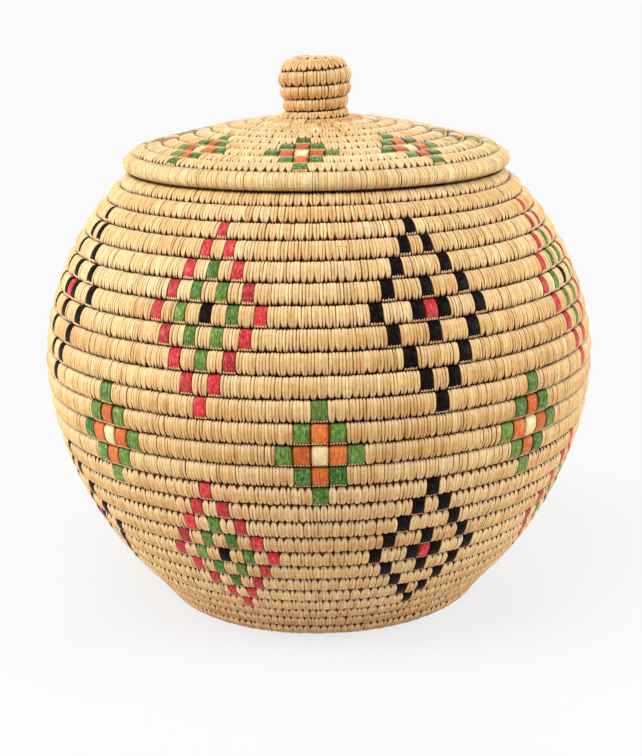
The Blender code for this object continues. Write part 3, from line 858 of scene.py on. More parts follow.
def lay_strands(name: str, template: Template, profile: StitchProfile, path: RowPath, shape: RowShape, lots: Lots,
                materials: list[bpy.types.Material], side: Side = Side.OUTSIDE, rise: float | None = None,
                wrap: tuple[float, float] | None = None, bulge: float = 0.0) -> bpy.types.Object:
    """Lay copies of a template over a row and join them in one mesh.

    Args:
        name: Name of the piece.
        template: The straight strand or strap.
        profile: How it lies across the row.
        path: The coil that it goes over.
        shape: Size of the stitched surface.
        lots: The strands' places and differences.
        materials: Materials, in the order of the lots' dye numbers.
        side: Which side of the row.
        rise: Thickness of the strand, if it isn't the shape's own.
        wrap: For a roll that is wound all round, half its depth and half its height.
        bulge: How far a strap's sides lie below its middle.

    Returns:
        The new object.
    """
    ring, across = template.ring, template.across
    count, corners = len(lots.turn), len(ring)
    turn, lift = lots.turn[:, None], lots.lift[:, None]
    share, drop, width, pull, ragged, dust_and_shade = (np.array(values)[ring] for values in (
        profile.across_row, profile.drop, profile.width, profile.pull, profile.ragged, profile.dust_and_shade))
    along = ring / (template.rings - 1.0)
    share = share + ragged * lots.ragged[:, None]
    half = path.half_width(turn)
    if wrap is None:
        crest, valley = shape.section(half)
        across_row = half * share
        height = crest - valley * drop + lift
        fall = np.gradient(np.array(profile.drop)) / np.gradient(np.array(profile.across_row))
        lean = fall[ring] * valley / np.maximum(half, 0.5)
        size = np.hypot(lean, 1.0)
        normal_across, normal_up = lean / size, 1.0 / size
    else:
        # The rings lie at angles round the roll's section, which is a little squarer below
        deep, high = wrap
        scale = half / high
        sine, cosine = np.sin(math.pi * share), np.cos(math.pi * share)
        across_row = high * scale * sine
        height = deep * scale * np.sign(cosine) * np.abs(cosine) ** np.where(sine > 0.0, *ROLL_POWERS) + lift
        normal_across, normal_up = sine, cosine
    raised = template.raised * (shape.strand_rise if rise is None else rise) - bulge * across ** 2
    across_row = across_row + raised * normal_across
    height = (height + raised * normal_up) * side.value
    sideways = (across * lots.width[:, None] / 2.0 * width - (lots.pull * shape.pull_at(lots.turn))[:, None] * pull
                + lots.slant[:, None] * (along - 0.5))
    reach = path.reach(turn)
    vertices = path.place(turn - path.direction * sideways / reach / TURN, across_row, height,
                          path.angle(turn) + sideways / reach)

    # Each strand has a cell of its own in the baked map
    columns = max(int(math.sqrt(count * CELL_COLUMNS)), 1)
    lines = -(-count // columns)
    number = np.arange(count)
    cell = np.stack([(number % columns) / columns, (number // columns) / lines], axis=-1)
    blocks, maps, slots = [], [], []
    for corners_in_face in sorted({len(face) for face in template.faces}):
        chosen = [k for k, face in enumerate(template.faces) if len(face) == corners_in_face]
        block = np.array([template.faces[k] for k in chosen])
        blocks.append((block[None] + (number * corners)[:, None, None]).reshape(-1, corners_in_face))
        places = np.array([template.face_uv[k] for k in chosen]) * (np.array(CELL_FILL) / (columns, lines))
        maps.append((places[None] + cell[:, None, None, :]).reshape(-1, 2))
        slots.append(np.repeat(lots.dye, len(chosen)))
    ones = np.ones((count, corners))
    strand = np.stack([across * ones, along * ones, lots.tone[:, None] * ones], -1)
    # The strand's own dirt joined with the profile's darkening, which is dirt and painted shade
    grime_and_shade = 1.0 - (1.0 - lots.grime_and_shade[:, None]) * (1.0 - dust_and_shade)
    lay = np.stack([lots.warmth[:, None] * ones, lots.seed[:, None] * ones, grime_and_shade], -1)
    creases = template.crease * (number[:, None] + 1.0)
    return new_piece(name, vertices, blocks, np.concatenate(maps), {"strand": strand, "lay": lay}, materials,
                     np.concatenate(slots), creases.reshape(-1))


@dataclass(frozen=True)
class BundleShape:
    """Section of the grass bundle under the strands: outer points from edge to edge, then the inner ones.

    across is a share of half the row's width, drop a share of the valley's depth, depth a share of half the
    row's width, and under how far the bundle lies below the strands.
    """

    across: tuple[float, ...] = (-0.97, -0.7, -0.3, 0.3, 0.7, 0.97, 0.9, 0.5, 0.0, -0.5, -0.9)
    drop: tuple[float, ...] = (1.35, 0.42, 0.1, 0.1, 0.42, 1.35)
    depth: tuple[float, ...] = (0.25, 0.82, 1.0, 0.82, 0.25)
    inner: float = 0.86
    under: float = 0.42
    inner_rise: float = 0.1
    roll_points: int = 12
    roll_under: float = 0.35

    def section(self, half: np.ndarray, shape: RowShape,
                wrap: tuple[float, float] | None) -> tuple[np.ndarray, np.ndarray]:
        """Work out the bundle's section at each place along the coil.

        Args:
            half: Half the row's width.
            shape: Size of the stitched surface.
            wrap: For a roll that is wound all round, half its depth and half its height.

        Returns:
            Lengths from the row's middle along the outline, and heights over the middle line.
        """
        if wrap is None:
            crest, valley = shape.section(half)
            outside = crest - valley * np.array(self.drop) - self.under
            inside = -half * self.inner * np.array(self.depth) + self.inner_rise
            return half * np.array(self.across), np.concatenate([outside, inside], axis=1)
        lean = np.linspace(0.0, TURN, self.roll_points, endpoint=False)
        deep, high = (size * (half / wrap[1]) - self.roll_under for size in wrap)
        return high * np.sin(lean), deep * np.cos(lean)


def lay_bundle(name: str, path: RowPath, shape: RowShape, low: float, high: float, per_turn: int,
               material: bpy.types.Material, wrap: tuple[float, float] | None = None) -> bpy.types.Object:
    """Sweep the grass bundle under the strands as one closed tube with capped ends.

    Args:
        name: Name of the piece.
        path: The coil.
        shape: Size of the stitched surface.
        low: Turn where it starts.
        high: Turn where it ends.
        per_turn: Sections in a turn.
        material: The bundle's material.
        wrap: For a roll that is wound all round, half its depth and half its height.

    Returns:
        The new object.
    """
    count = max(int((high - low) * per_turn), 3)
    turns = np.linspace(low, high, count + 1)[:, None]
    across, height = BundleShape().section(path.half_width(turns), shape, wrap)
    vertices = path.place(turns, across, height, path.angle(turns))
    points = across.shape[1]
    rows, ring = np.meshgrid(np.arange(count), np.arange(points), indexing="ij")
    following = (ring + 1) % points
    quads = np.stack([rows * points + ring, rows * points + following, (rows + 1) * points + following,
                      (rows + 1) * points + ring], -1).reshape(-1, 4)
    caps = np.array([np.arange(points)[::-1], count * points + np.arange(points)])

    # In the baked map the tube is cut in lengths of two thirds of a turn, one above the other, its caps at the left
    bands = max(int(math.ceil((high - low) * 1.5)), 1)
    run = rows.reshape(-1) / count * bands
    band = np.minimum(np.floor(run + 1e-9), bands - 1)
    u, v = run - band, ring.reshape(-1) / points
    u_next, v_next = np.minimum(u + bands / count, 1.0), v + 1.0 / points
    uv = np.stack([np.stack([0.04 + 0.95 * a, (band + 0.96 * b) / bands], -1)
                   for a, b in ((u, v), (u, v_next), (u_next, v_next), (u_next, v))], 1).reshape(-1, 2)
    lean = np.arange(points) / points * TURN
    disc = np.stack([0.015 + 0.012 * np.cos(lean), 0.25 + 0.1 * np.sin(lean)], -1)
    uv = np.concatenate([uv, disc, disc + [0.0, 0.4]])
    length = path.reach(turns) * TURN * (turns - low) * np.ones_like(across)
    around = np.arange(points) / points * np.ones_like(length)
    stems = np.stack([length, around, np.zeros_like(across)], -1)
    return new_piece(name, vertices, [quads, caps], uv, {"stems": stems}, [material])


@dataclass(frozen=True)
class Strap:
    """One dyed strap: its turn along the coil, half its width in turns, and its dye."""

    turn: float
    half: float
    dye: Dye


@dataclass(frozen=True)
class Motif:
    """One ornament: for each row from the top, the columns of its straps and their dyes.

    column is the angle from column to column and strap the width of a strap, both in degrees.
    """

    rows: tuple[tuple[tuple[float, Dye], ...], ...]
    column: float
    strap: float

    @staticmethod
    def read(lines: str, column: float, strap: float) -> "Motif":
        """Make a motif from rows of letters, spaced in columns round its middle.

        Args:
            lines: Rows split by a slash, each of column number and letter pairs.
            column: Degrees from column to column.
            strap: Width of a strap in degrees.

        Returns:
            The motif.
        """
        dyes = {"r": Dye.RED, "g": Dye.GREEN, "k": Dye.BLACK, "o": Dye.ORANGE, "n": Dye.NATURAL}
        rows = tuple(tuple((float(item[:-1]), dyes[item[-1]]) for item in line.split()) for line in lines.split("/"))
        return Motif(rows, column, strap)


RED_DIAMOND = Motif.read(
    "0r/-1r 1r/-2r 0g 2r/-3r -1g 1g 3r/-4r -2g 0k 2g 4r/-3r -1g 1g 3r/-2r 0g 2r/-1r 1r/0r", 2.85, 2.6)
BLACK_DIAMOND = Motif.read(
    "0k/-1k 1k/-2k 2k/-3k 0k 3k/-4k -1k 0r 1k 4k/-3k 0k 3k/-2k 2k/-1k 1k/0k", 2.85, 2.7)
CROSS = Motif.read("0g/-1g 0o 1g/-2g -1o 0n 1o 2g/-1g 0o 1g/0g", 3.36, 3.2)
LID_CROSS = replace(CROSS, column=5.7, strap=5.4)


@dataclass(frozen=True)
class Band:
    """A ring of motifs round the basket.

    middles are the angles of the motifs' centres, first_row is the row of their upper tip, counted from the
    finished edge, lean is how many degrees each row is shifted from the one above, and reference is the radius
    at which the motif's angles hold, if straps keep their width in millimetres on every row.
    """

    motifs: tuple[Motif, ...]
    middles: tuple[float, ...]
    first_row: int
    lean: float = 0.0
    reference: float = 0.0

    def straps(self, path: Spiral) -> list[Strap]:
        """Place the band's straps.

        Args:
            path: The coil.

        Returns:
            The straps, in the order of their turns.
        """
        found = []
        for number, middle in enumerate(self.middles):
            motif = self.motifs[number % len(self.motifs)]
            share = ((math.degrees(path.end_angle) - middle) * path.direction / 360.0) % 1.0
            # Where the coil is still thin, the first row that a motif can use is a turn further in
            start = share if float(path.half_width(share)) > float(path.half_width(share + 2.0)) * 0.5 else share + 1.0
            for row, straps in enumerate(motif.rows):
                scale = self.reference / float(path.reach(start + self.first_row + row)) if self.reference else 1.0
                for column, dye in straps:
                    shift = (column * motif.column * scale + self.lean * (row - (len(motif.rows) - 1) / 2.0)) / 360.0
                    turn = start + self.first_row + row - path.direction * shift
                    found.append(Strap(turn, motif.strap * scale / 720.0, dye))
        return sorted(found, key=lambda strap: strap.turn)


@dataclass
class Templates:
    """The few pieces that are modelled once and copied everywhere."""

    strand: Template = field(default_factory=lambda: Template("strand", SEWN.rings))
    inner: Template = field(default_factory=lambda: Template("inner_strand", INNER.rings))
    strap: Template = field(default_factory=lambda: Template("strap", STRAP.rings, flat=True))
    short_end: Template = field(default_factory=lambda: Template("short_end", SHORT_END.rings))


@dataclass(frozen=True)
class SewingHabit:
    """How unlike its neighbours a strand is, in millimetres, or in shares of the spacing for places and widths.

    Strands are drawn together in groups. The coil is measured at a number of samples to a turn. slow, patchy
    and broad are how often in a turn three gentle changes along the coil come round, and the values after them
    say how much each moves a strand's slant or tone.
    """

    group_sizes: tuple[int, ...] = (1, 2, 2, 2, 2, 3)
    group_end: float = 0.05
    jitter: float = 0.07
    end_room: float = 0.2
    widths: tuple[float, float] = (0.8, 1.08)
    samples: int = 90
    slow: float = 11.0
    patchy: float = 23.0
    broad: float = 5.0
    slow_slant: float = 0.25
    slant: float = 0.34
    lift: float = 0.1
    tone: float = 0.52
    tone_spread: float = 0.13
    patchy_tone: float = 0.17
    broad_tone: float = 0.12
    warmth_spread: float = 0.16
    slow_warmth: float = 0.1
    grime_and_shade: tuple[float, float] = (-0.5, 0.14)
    own_end: float = 0.02


def spread(path: RowPath, low: float, high: float, spacing: float, taken: list[Strap], shape: RowShape,
           seed: int) -> Lots:
    """Set strands side by side along a stretch, in small groups, and leave room for the straps.

    Args:
        path: The coil.
        low: Turn where the stretch starts.
        high: Turn where it ends.
        spacing: Length from strand to strand.
        taken: The straps.
        shape: Size and colour of the stitched surface.
        seed: Number that fixes the strands' small differences.

    Returns:
        The strands.
    """
    random, habit = np.random.default_rng(seed), SewingHabit()
    gaps, start = [], low
    for strap in taken:
        if low < strap.turn < high:
            if strap.turn - strap.half > start:
                gaps.append((start, strap.turn - strap.half))
            start = max(start, strap.turn + strap.half)
    if high > start:
        gaps.append((start, high))
    turns, widths, pulls, reaches = [], [], [], []
    for first, last in gaps:
        # Strands are set by length along the coil, so the turn is read back from the length
        samples = np.linspace(first, last, max(int((last - first) * habit.samples), 3) + 1)
        reach = path.reach(samples)
        length = np.concatenate([[0.0], np.cumsum((reach[1:] + reach[:-1]) / 2.0 * TURN * np.diff(samples))])
        count = int(round(length[-1] / spacing))
        if count < 1:
            continue
        pitch = length[-1] / count
        offsets, reached = np.zeros(count), np.zeros(count)
        index = 0
        while index < count:
            size = min(int(random.choice(habit.group_sizes)), count - index)
            members = np.arange(index, index + size)
            offsets[members] = (members - members.mean()) * pitch
            reached[members] = random.uniform(-habit.group_end, habit.group_end)
            index += size
        spots = (np.arange(count) + 0.5) * pitch + random.uniform(-habit.jitter, habit.jitter, count) * pitch
        room = habit.end_room * pitch
        turns.append(np.interp(np.clip(spots, room, length[-1] - room), length, samples))
        widths.append(np.full(count, pitch) * random.uniform(*habit.widths, count))
        pulls.append(offsets)
        reaches.append(reached)
    turn, ends = np.concatenate(turns), np.concatenate(reaches)
    count = len(turn)
    slow, patch, broad = (np.interp(turn * rate, np.arange(points), random.uniform(-1.0, 1.0, points))
                          for rate, points in ((habit.slow, 400), (habit.patchy, 900), (habit.broad, 200)))
    # The stretch's paleness shifts the tone: partly painted light, paler towards the top
    tone = np.clip(habit.tone + shape.paleness + habit.tone_spread * random.standard_normal(count)
                   + habit.patchy_tone * patch + habit.broad_tone * broad, 0.0, 1.0)
    return Lots(
        turn=turn,
        width=np.concatenate(widths),
        pull=-np.concatenate(pulls) * path.direction,
        slant=habit.slow_slant * slow + random.uniform(-habit.slant, habit.slant, count),
        lift=random.uniform(-habit.lift, habit.lift, count),
        tone=tone,
        warmth=np.clip(shape.warmth + habit.warmth_spread * random.standard_normal(count)
                       + habit.slow_warmth * slow, 0.0, 0.9),
        seed=random.uniform(0.0, 1.0, count),
        grime_and_shade=np.clip(random.uniform(*habit.grime_and_shade, count), 0.0, 1.0),
        ragged=ends + random.uniform(-habit.own_end, habit.own_end, count),
        dye=np.zeros(count, int),
    )


def strap_lots(path: RowPath, straps: list[Strap], shape: RowShape, seed: int) -> Lots:
    """Lay out the straps, each as wide as its column.

    Args:
        path: The coil.
        straps: The straps.
        shape: Size and colour of the stitched surface.
        seed: Number that fixes the straps' small differences.

    Returns:
        The straps as lots.
    """
    random = np.random.default_rng(seed)
    turn = np.array([strap.turn for strap in straps])
    half = np.array([strap.half for strap in straps])
    dye = np.array([strap.dye.value for strap in straps])
    count = len(turn)
    width = half * 2.0 * TURN * path.reach(turn) * random.uniform(0.92, 1.05, count)
    tone = np.where(dye == Dye.NATURAL.value, 1.0, random.uniform(0.0, 1.0, count))
    return Lots(
        turn=turn,
        width=width,
        pull=np.zeros(count),
        slant=random.uniform(-0.45, 0.45, count),
        lift=random.uniform(-0.01, 0.07, count),
        tone=tone,
        warmth=np.full(count, shape.warmth),
        seed=random.uniform(0.0, 1.0, count),
        grime_and_shade=np.zeros(count),
        ragged=np.zeros(count),
        dye=dye,
    )


def short_end_lots(path: RowPath, straps: list[Strap], seed: int) -> Lots:
    """Lay out the pale short ends that hold down the lower edge of every strap.

    Args:
        path: The coil.
        straps: The straps.
        seed: Number that fixes the ends' small differences.

    Returns:
        The short ends.
    """
    places = []
    for strap in straps:
        width = strap.half * 2.0 * TURN * float(path.reach(strap.turn))
        count = max(int(round(width / SHORT_END_SPACING)), 2)
        places.extend(strap.turn + strap.half * (2.0 * (number + 0.5) / count - 1.0) for number in range(count))
    random = np.random.default_rng(seed)
    count = len(places)
    return Lots(
        turn=np.array(sorted(places)),
        width=random.uniform(0.75, 0.95, count),
        pull=random.uniform(-0.3, 0.3, count),
        slant=random.uniform(-0.1, 0.1, count),
        lift=random.uniform(-0.05, 0.05, count) + 0.06,
        tone=random.uniform(0.45, 1.0, count),
        warmth=0.45 + random.uniform(-0.2, 0.2, count),
        seed=random.uniform(0.0, 1.0, count),
        grime_and_shade=np.zeros(count),
        ragged=random.uniform(-0.04, 0.04, count),
        dye=np.zeros(count, int),
    )


@dataclass
class CoilStretch:
    """One named length of coil: its rows, its stitched surface and the piece of the frame it stands for.

    Each kind of piece draws its differences from a seed of its own, the stretch's seed times ten and a digit.
    """

    BUNDLE_SECTIONS = 110
    EDGE_DIGIT = 5
    INNER_DIGIT = 7
    STRAP_DIGIT = 8
    SHORT_END_DIGIT = 9

    node: str
    body: str
    low: float
    high: float
    shape: RowShape
    pieces: int = 1
    inside: bool = True
    seed: int = 1
    profile: StitchProfile = SEWN
    upwards: bool = False
    strap_rise: float = 0.4
    strap_bulge: float = 0.22
    inner_slant: float = 0.9
    inner_crest: float = 0.97
    inner_valley: float = 1.2

    def build(self, path: RowPath, templates: Templates, palette: Palette, straps: list[Strap]) -> None:
        """Make the stretch's bundle, strands, straps and short ends, and hang them on the frame.

        Args:
            path: The coil.
            templates: The straight pieces that are copied.
            palette: The materials.
            straps: All straps of this coil.
        """
        shape, seed = self.shape, self.seed * 10
        bundle = lay_bundle(self.node + "_bundle", path, shape, self.low, self.high, self.BUNDLE_SECTIONS,
                            palette.bundle)
        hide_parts(self.node)
        self.hang(bundle)
        sewn, strap, short_end = self.profile, STRAP, SHORT_END
        if self.upwards:
            sewn, strap, short_end = turned(sewn), turned(strap), turned(short_end)
        cuts = np.linspace(self.low, self.high, self.pieces + 1)
        for number, (low, high) in enumerate(zip(cuts, cuts[1:])):
            suffix = f"_{number + 1}" if self.pieces > 1 else ""
            lots = spread(path, low, high, shape.spacing, straps, shape, seed + number)
            self.hang(lay_strands(self.node + "_strands" + suffix, templates.strand, sewn, path, shape, lots,
                                  [palette.strand]))
        if self.inside:
            lots = spread(path, self.low, self.high, shape.inner_spacing, [], shape, seed + self.INNER_DIGIT)
            lots.slant = lots.slant + self.inner_slant
            depth = RowShape(float(np.median(path.half_width(lots.turn))) * self.inner_crest, self.inner_valley,
                             shape.inner_spacing, warmth=shape.warmth)
            self.hang(lay_strands(self.node + "_inner_strands", templates.inner, INNER, path, depth, lots,
                                  [palette.strand], Side.INSIDE))
        own = [place for place in straps if self.low < place.turn < self.high]
        if own:
            self.hang(lay_strands(self.node + "_straps", templates.strap, strap, path, shape,
                                  strap_lots(path, own, shape, seed + self.STRAP_DIGIT), palette.strap_materials(),
                                  rise=self.strap_rise, bulge=self.strap_bulge))
            self.hang(lay_strands(self.node + "_short_ends", templates.short_end, short_end, path, shape,
                                  short_end_lots(path, own, seed + self.SHORT_END_DIGIT), [palette.strand]))

    def hang(self, piece: bpy.types.Object) -> None:
        """Let a piece ride on the stretch's body and log its faces.

        Args:
            piece: The piece.
        """
        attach(piece, self.body)
        LOG.info("%s: %d faces", piece.name, len(piece.data.polygons))


@dataclass
class Basket:
    """The round-bellied basket: wall, foot and base, wound in one spiral from the mouth down.

    The sizes are the frame's own, and foot_flare widens the foot by flare_height from the floor, which follows
    the real basket's fuller foot. row_counts are the rows of mouth, shoulder, upper wall, belly, lower wall and
    foot. upper_shift and lower_shift are the degrees that a band's red and black diamonds are turned by, and
    edge_overrun is how far the mouth's winding goes on past the mouth row.
    """

    belly_radius: float = 101.8
    belly_height: float = 93.3
    mouth_radius: float = 68.2
    mouth_height: float = 163.0
    foot_radius: float = 52.7
    foot_bend_radius: float = 5.0
    foot_flare: float = 3.7
    flare_height: float = 7.5
    wall_fullness: float = 1.82
    turn_gap: float = 0.55
    row_counts: tuple[int, ...] = (1, 2, 4, 7, 9, 3)
    mouth_pitch: float = 6.5
    shoulder_pitch: float = 6.4
    upper_pitch: float = 7.3
    belly_pitch: float = 7.35
    lower_pitch: float = 6.8
    foot_pitch: float = 6.2
    base_pitch: float = 7.7
    base_flat: float = 0.2
    base_start_radius: float = 6.2
    base_start_turns: float = 1.4
    middle_radius: float = 1.5
    tail_thickness: float = 0.8
    outline_step: float = 0.4
    bend_steps: int = 16
    upper_shift: tuple[float, float] = (22.6, 22.15)
    lower_shift: tuple[float, float] = (21.9, 21.8)
    mouth_wrap: tuple[float, float] = (3.3, 3.25)
    edge_overrun: float = 0.24
    end_angle: float = math.radians(265.0)
    body: str = "basket"

    def section_radius(self, pitch: float) -> float:
        """Return the frame's section radius for a row width."""
        return (pitch - self.turn_gap) / 2.0 / math.cos(math.pi / 6.0)

    def wall_radius(self, height: float) -> float:
        """Work out the wall's outside radius.

        Args:
            height: Height over the floor.

        Returns:
            The radius there.
        """
        above = height >= self.belly_height
        edge = self.mouth_radius if above else self.foot_radius
        reach = self.mouth_height - self.belly_height if above else self.belly_height
        share = 1.0 - (edge / self.belly_radius) ** 2
        drop = share * (abs(height - self.belly_height) / reach) ** self.wall_fullness
        flare = 0.0 if above else self.foot_flare * math.exp(-(height / self.flare_height) ** 2)
        return self.belly_radius * math.sqrt(1.0 - drop) + flare

    def outline(self) -> list[tuple[float, float]]:
        """Draw the coil's middle line: wall, bend at the foot and flat base.

        Returns:
            Points of radius and height, from the mouth to the middle of the base.
        """
        count = int(self.mouth_height / self.outline_step)
        inset = self.section_radius(self.lower_pitch)
        near = self.outline_step / 2.0
        wall = []
        for index in range(count + 1):
            height = self.mouth_height * (1.0 - index / count)
            slope = (self.wall_radius(height + near) - self.wall_radius(height - near)) / self.outline_step
            length = math.hypot(1.0, slope)
            wall.append((self.wall_radius(height) - inset / length, height + inset * slope / length))
        corner = self.section_radius(self.base_pitch)
        floor = corner - self.base_flat * corner
        bend_height = floor + self.foot_bend_radius
        # The bend's centre is found by halving, so that the bend just touches the wall
        low, high = 0.0, self.wall_radius(bend_height)
        for _ in range(60):
            centre = (low + high) / 2.0
            distances = [math.hypot(r - centre, z - bend_height) for r, z in wall]
            if min(distances) > self.foot_bend_radius:
                low = centre
            else:
                high = centre
        touch = distances.index(min(distances))
        start = math.atan2(wall[touch][1] - bend_height, wall[touch][0] - centre)
        points = wall[:touch]
        for index in range(self.bend_steps + 1):
            angle = start + (-math.pi / 2.0 - start) * index / self.bend_steps
            points.append((centre + self.foot_bend_radius * math.cos(angle),
                           bend_height + self.foot_bend_radius * math.sin(angle)))
        points.append((0.0, floor))
        return points

    def path(self) -> Spiral:
        """Wind the basket's coil.

        Returns:
            The coil.
        """
        pitches = (self.mouth_pitch, self.shoulder_pitch, self.upper_pitch, self.belly_pitch, self.lower_pitch,
                   self.foot_pitch)
        rows = [*zip(self.row_counts, pitches), (math.inf, self.base_pitch)]
        return Spiral(self.outline(), rows, self.end_angle, 1.0, 1.0)

    def bands(self) -> list[Band]:
        """Set out the three bands of ornament: diamonds, crosses and diamonds, eight to a band.

        Returns:
            The bands from the top.
        """
        diamonds = (RED_DIAMOND, BLACK_DIAMOND)
        around = tuple(45.0 * number for number in range(8))
        upper, lower = (tuple(angle - shift[number % 2] for number, angle in enumerate(around))
                        for shift in (self.upper_shift, self.lower_shift))
        return [Band(diamonds, upper, 2, lean=0.06), Band((CROSS,), around, 10), Band(diamonds, lower, 14, lean=0.24)]

    def build(self, templates: Templates, palette: Palette) -> None:
        """Make every stretch of the basket's coil.

        Args:
            templates: The straight pieces that are copied.
            palette: The materials.
        """
        path = self.path()
        straps = sorted((strap for band in self.bands() for strap in band.straps(path)), key=lambda s: s.turn)
        base_start = path.turn_at_radius(self.base_start_radius) - self.base_start_turns
        plain = RowShape(3.28, 1.3, 1.35, warmth=0.4)
        # Each stretch ends at a turn, which is its count of rows from the mouth
        mouth, shoulder, upper, belly, lower, foot = (float(end) for end in np.cumsum(self.row_counts))
        stretches = [
            CoilStretch("mouth_row_coil", self.body, path.tail_turn(self.tail_thickness), mouth,
                        RowShape(3.15, 1.6, 1.2, pull=0.44, warmth=0.16, paleness=0.2), seed=11, profile=MOUTH),
            CoilStretch("shoulder_coil", self.body, mouth, shoulder,
                        RowShape(3.5, 1.7, 1.15, pull=0.44, warmth=0.14, paleness=0.1), seed=12),
            CoilStretch("upper_wall_coil", self.body, shoulder, upper,
                        RowShape(3.61, 1.6, 1.06, pull=0.36, warmth=0.12, paleness=0.1), seed=13),
            CoilStretch("belly_coil", self.body, upper, belly,
                        RowShape(3.61, 1.55, 1.08, pull=0.38, warmth=0.18), pieces=2, seed=14),
            CoilStretch("lower_wall_coil", self.body, belly, lower,
                        RowShape(3.55, 1.2, 1.15, pull=0.48, warmth=0.32, paleness=0.02), pieces=3, seed=15,
                        profile=LOW),
            CoilStretch("foot_coil", self.body, lower, foot,
                        RowShape(3.4, 1.1, 1.15, pull=0.52, warmth=0.48, paleness=-0.08), seed=16, profile=LOW),
            CoilStretch("base_coil", self.body, foot, base_start, plain, seed=17),
            CoilStretch("base_start_coil", self.body, base_start, path.turn_at_radius(self.middle_radius), plain,
                        seed=18),
        ]
        for stretch in stretches:
            stretch.build(path, templates, palette, straps)
        self.wind_mouth(path, stretches[0], palette)

    def wind_mouth(self, path: Spiral, row: CoilStretch, palette: Palette) -> None:
        """Wind strands over the mouth's edge, from the inner side to under the outer strands.

        Args:
            path: The basket's coil.
            row: The mouth row.
            palette: The materials.
        """
        rings = 9
        # Both ends are darkened with dirt and painted shade where they tuck under
        profile = wound(np.linspace(-0.95, -0.15, rings), (0.0,) * rings, (0.95, 0.1) + (0.0,) * 5 + (0.3, 0.95))
        # The row below is the edge too where the mouth row is still thin, so the winding goes on over it
        lots = spread(path, row.low, row.high + self.edge_overrun, row.shape.spacing, [], row.shape,
                      row.seed * 10 + row.EDGE_DIGIT)
        row.hang(lay_strands(row.node + "_edge_strands", Template("edge_strand", rings), profile, path, row.shape,
                             lots, [palette.strand], wrap=self.mouth_wrap))


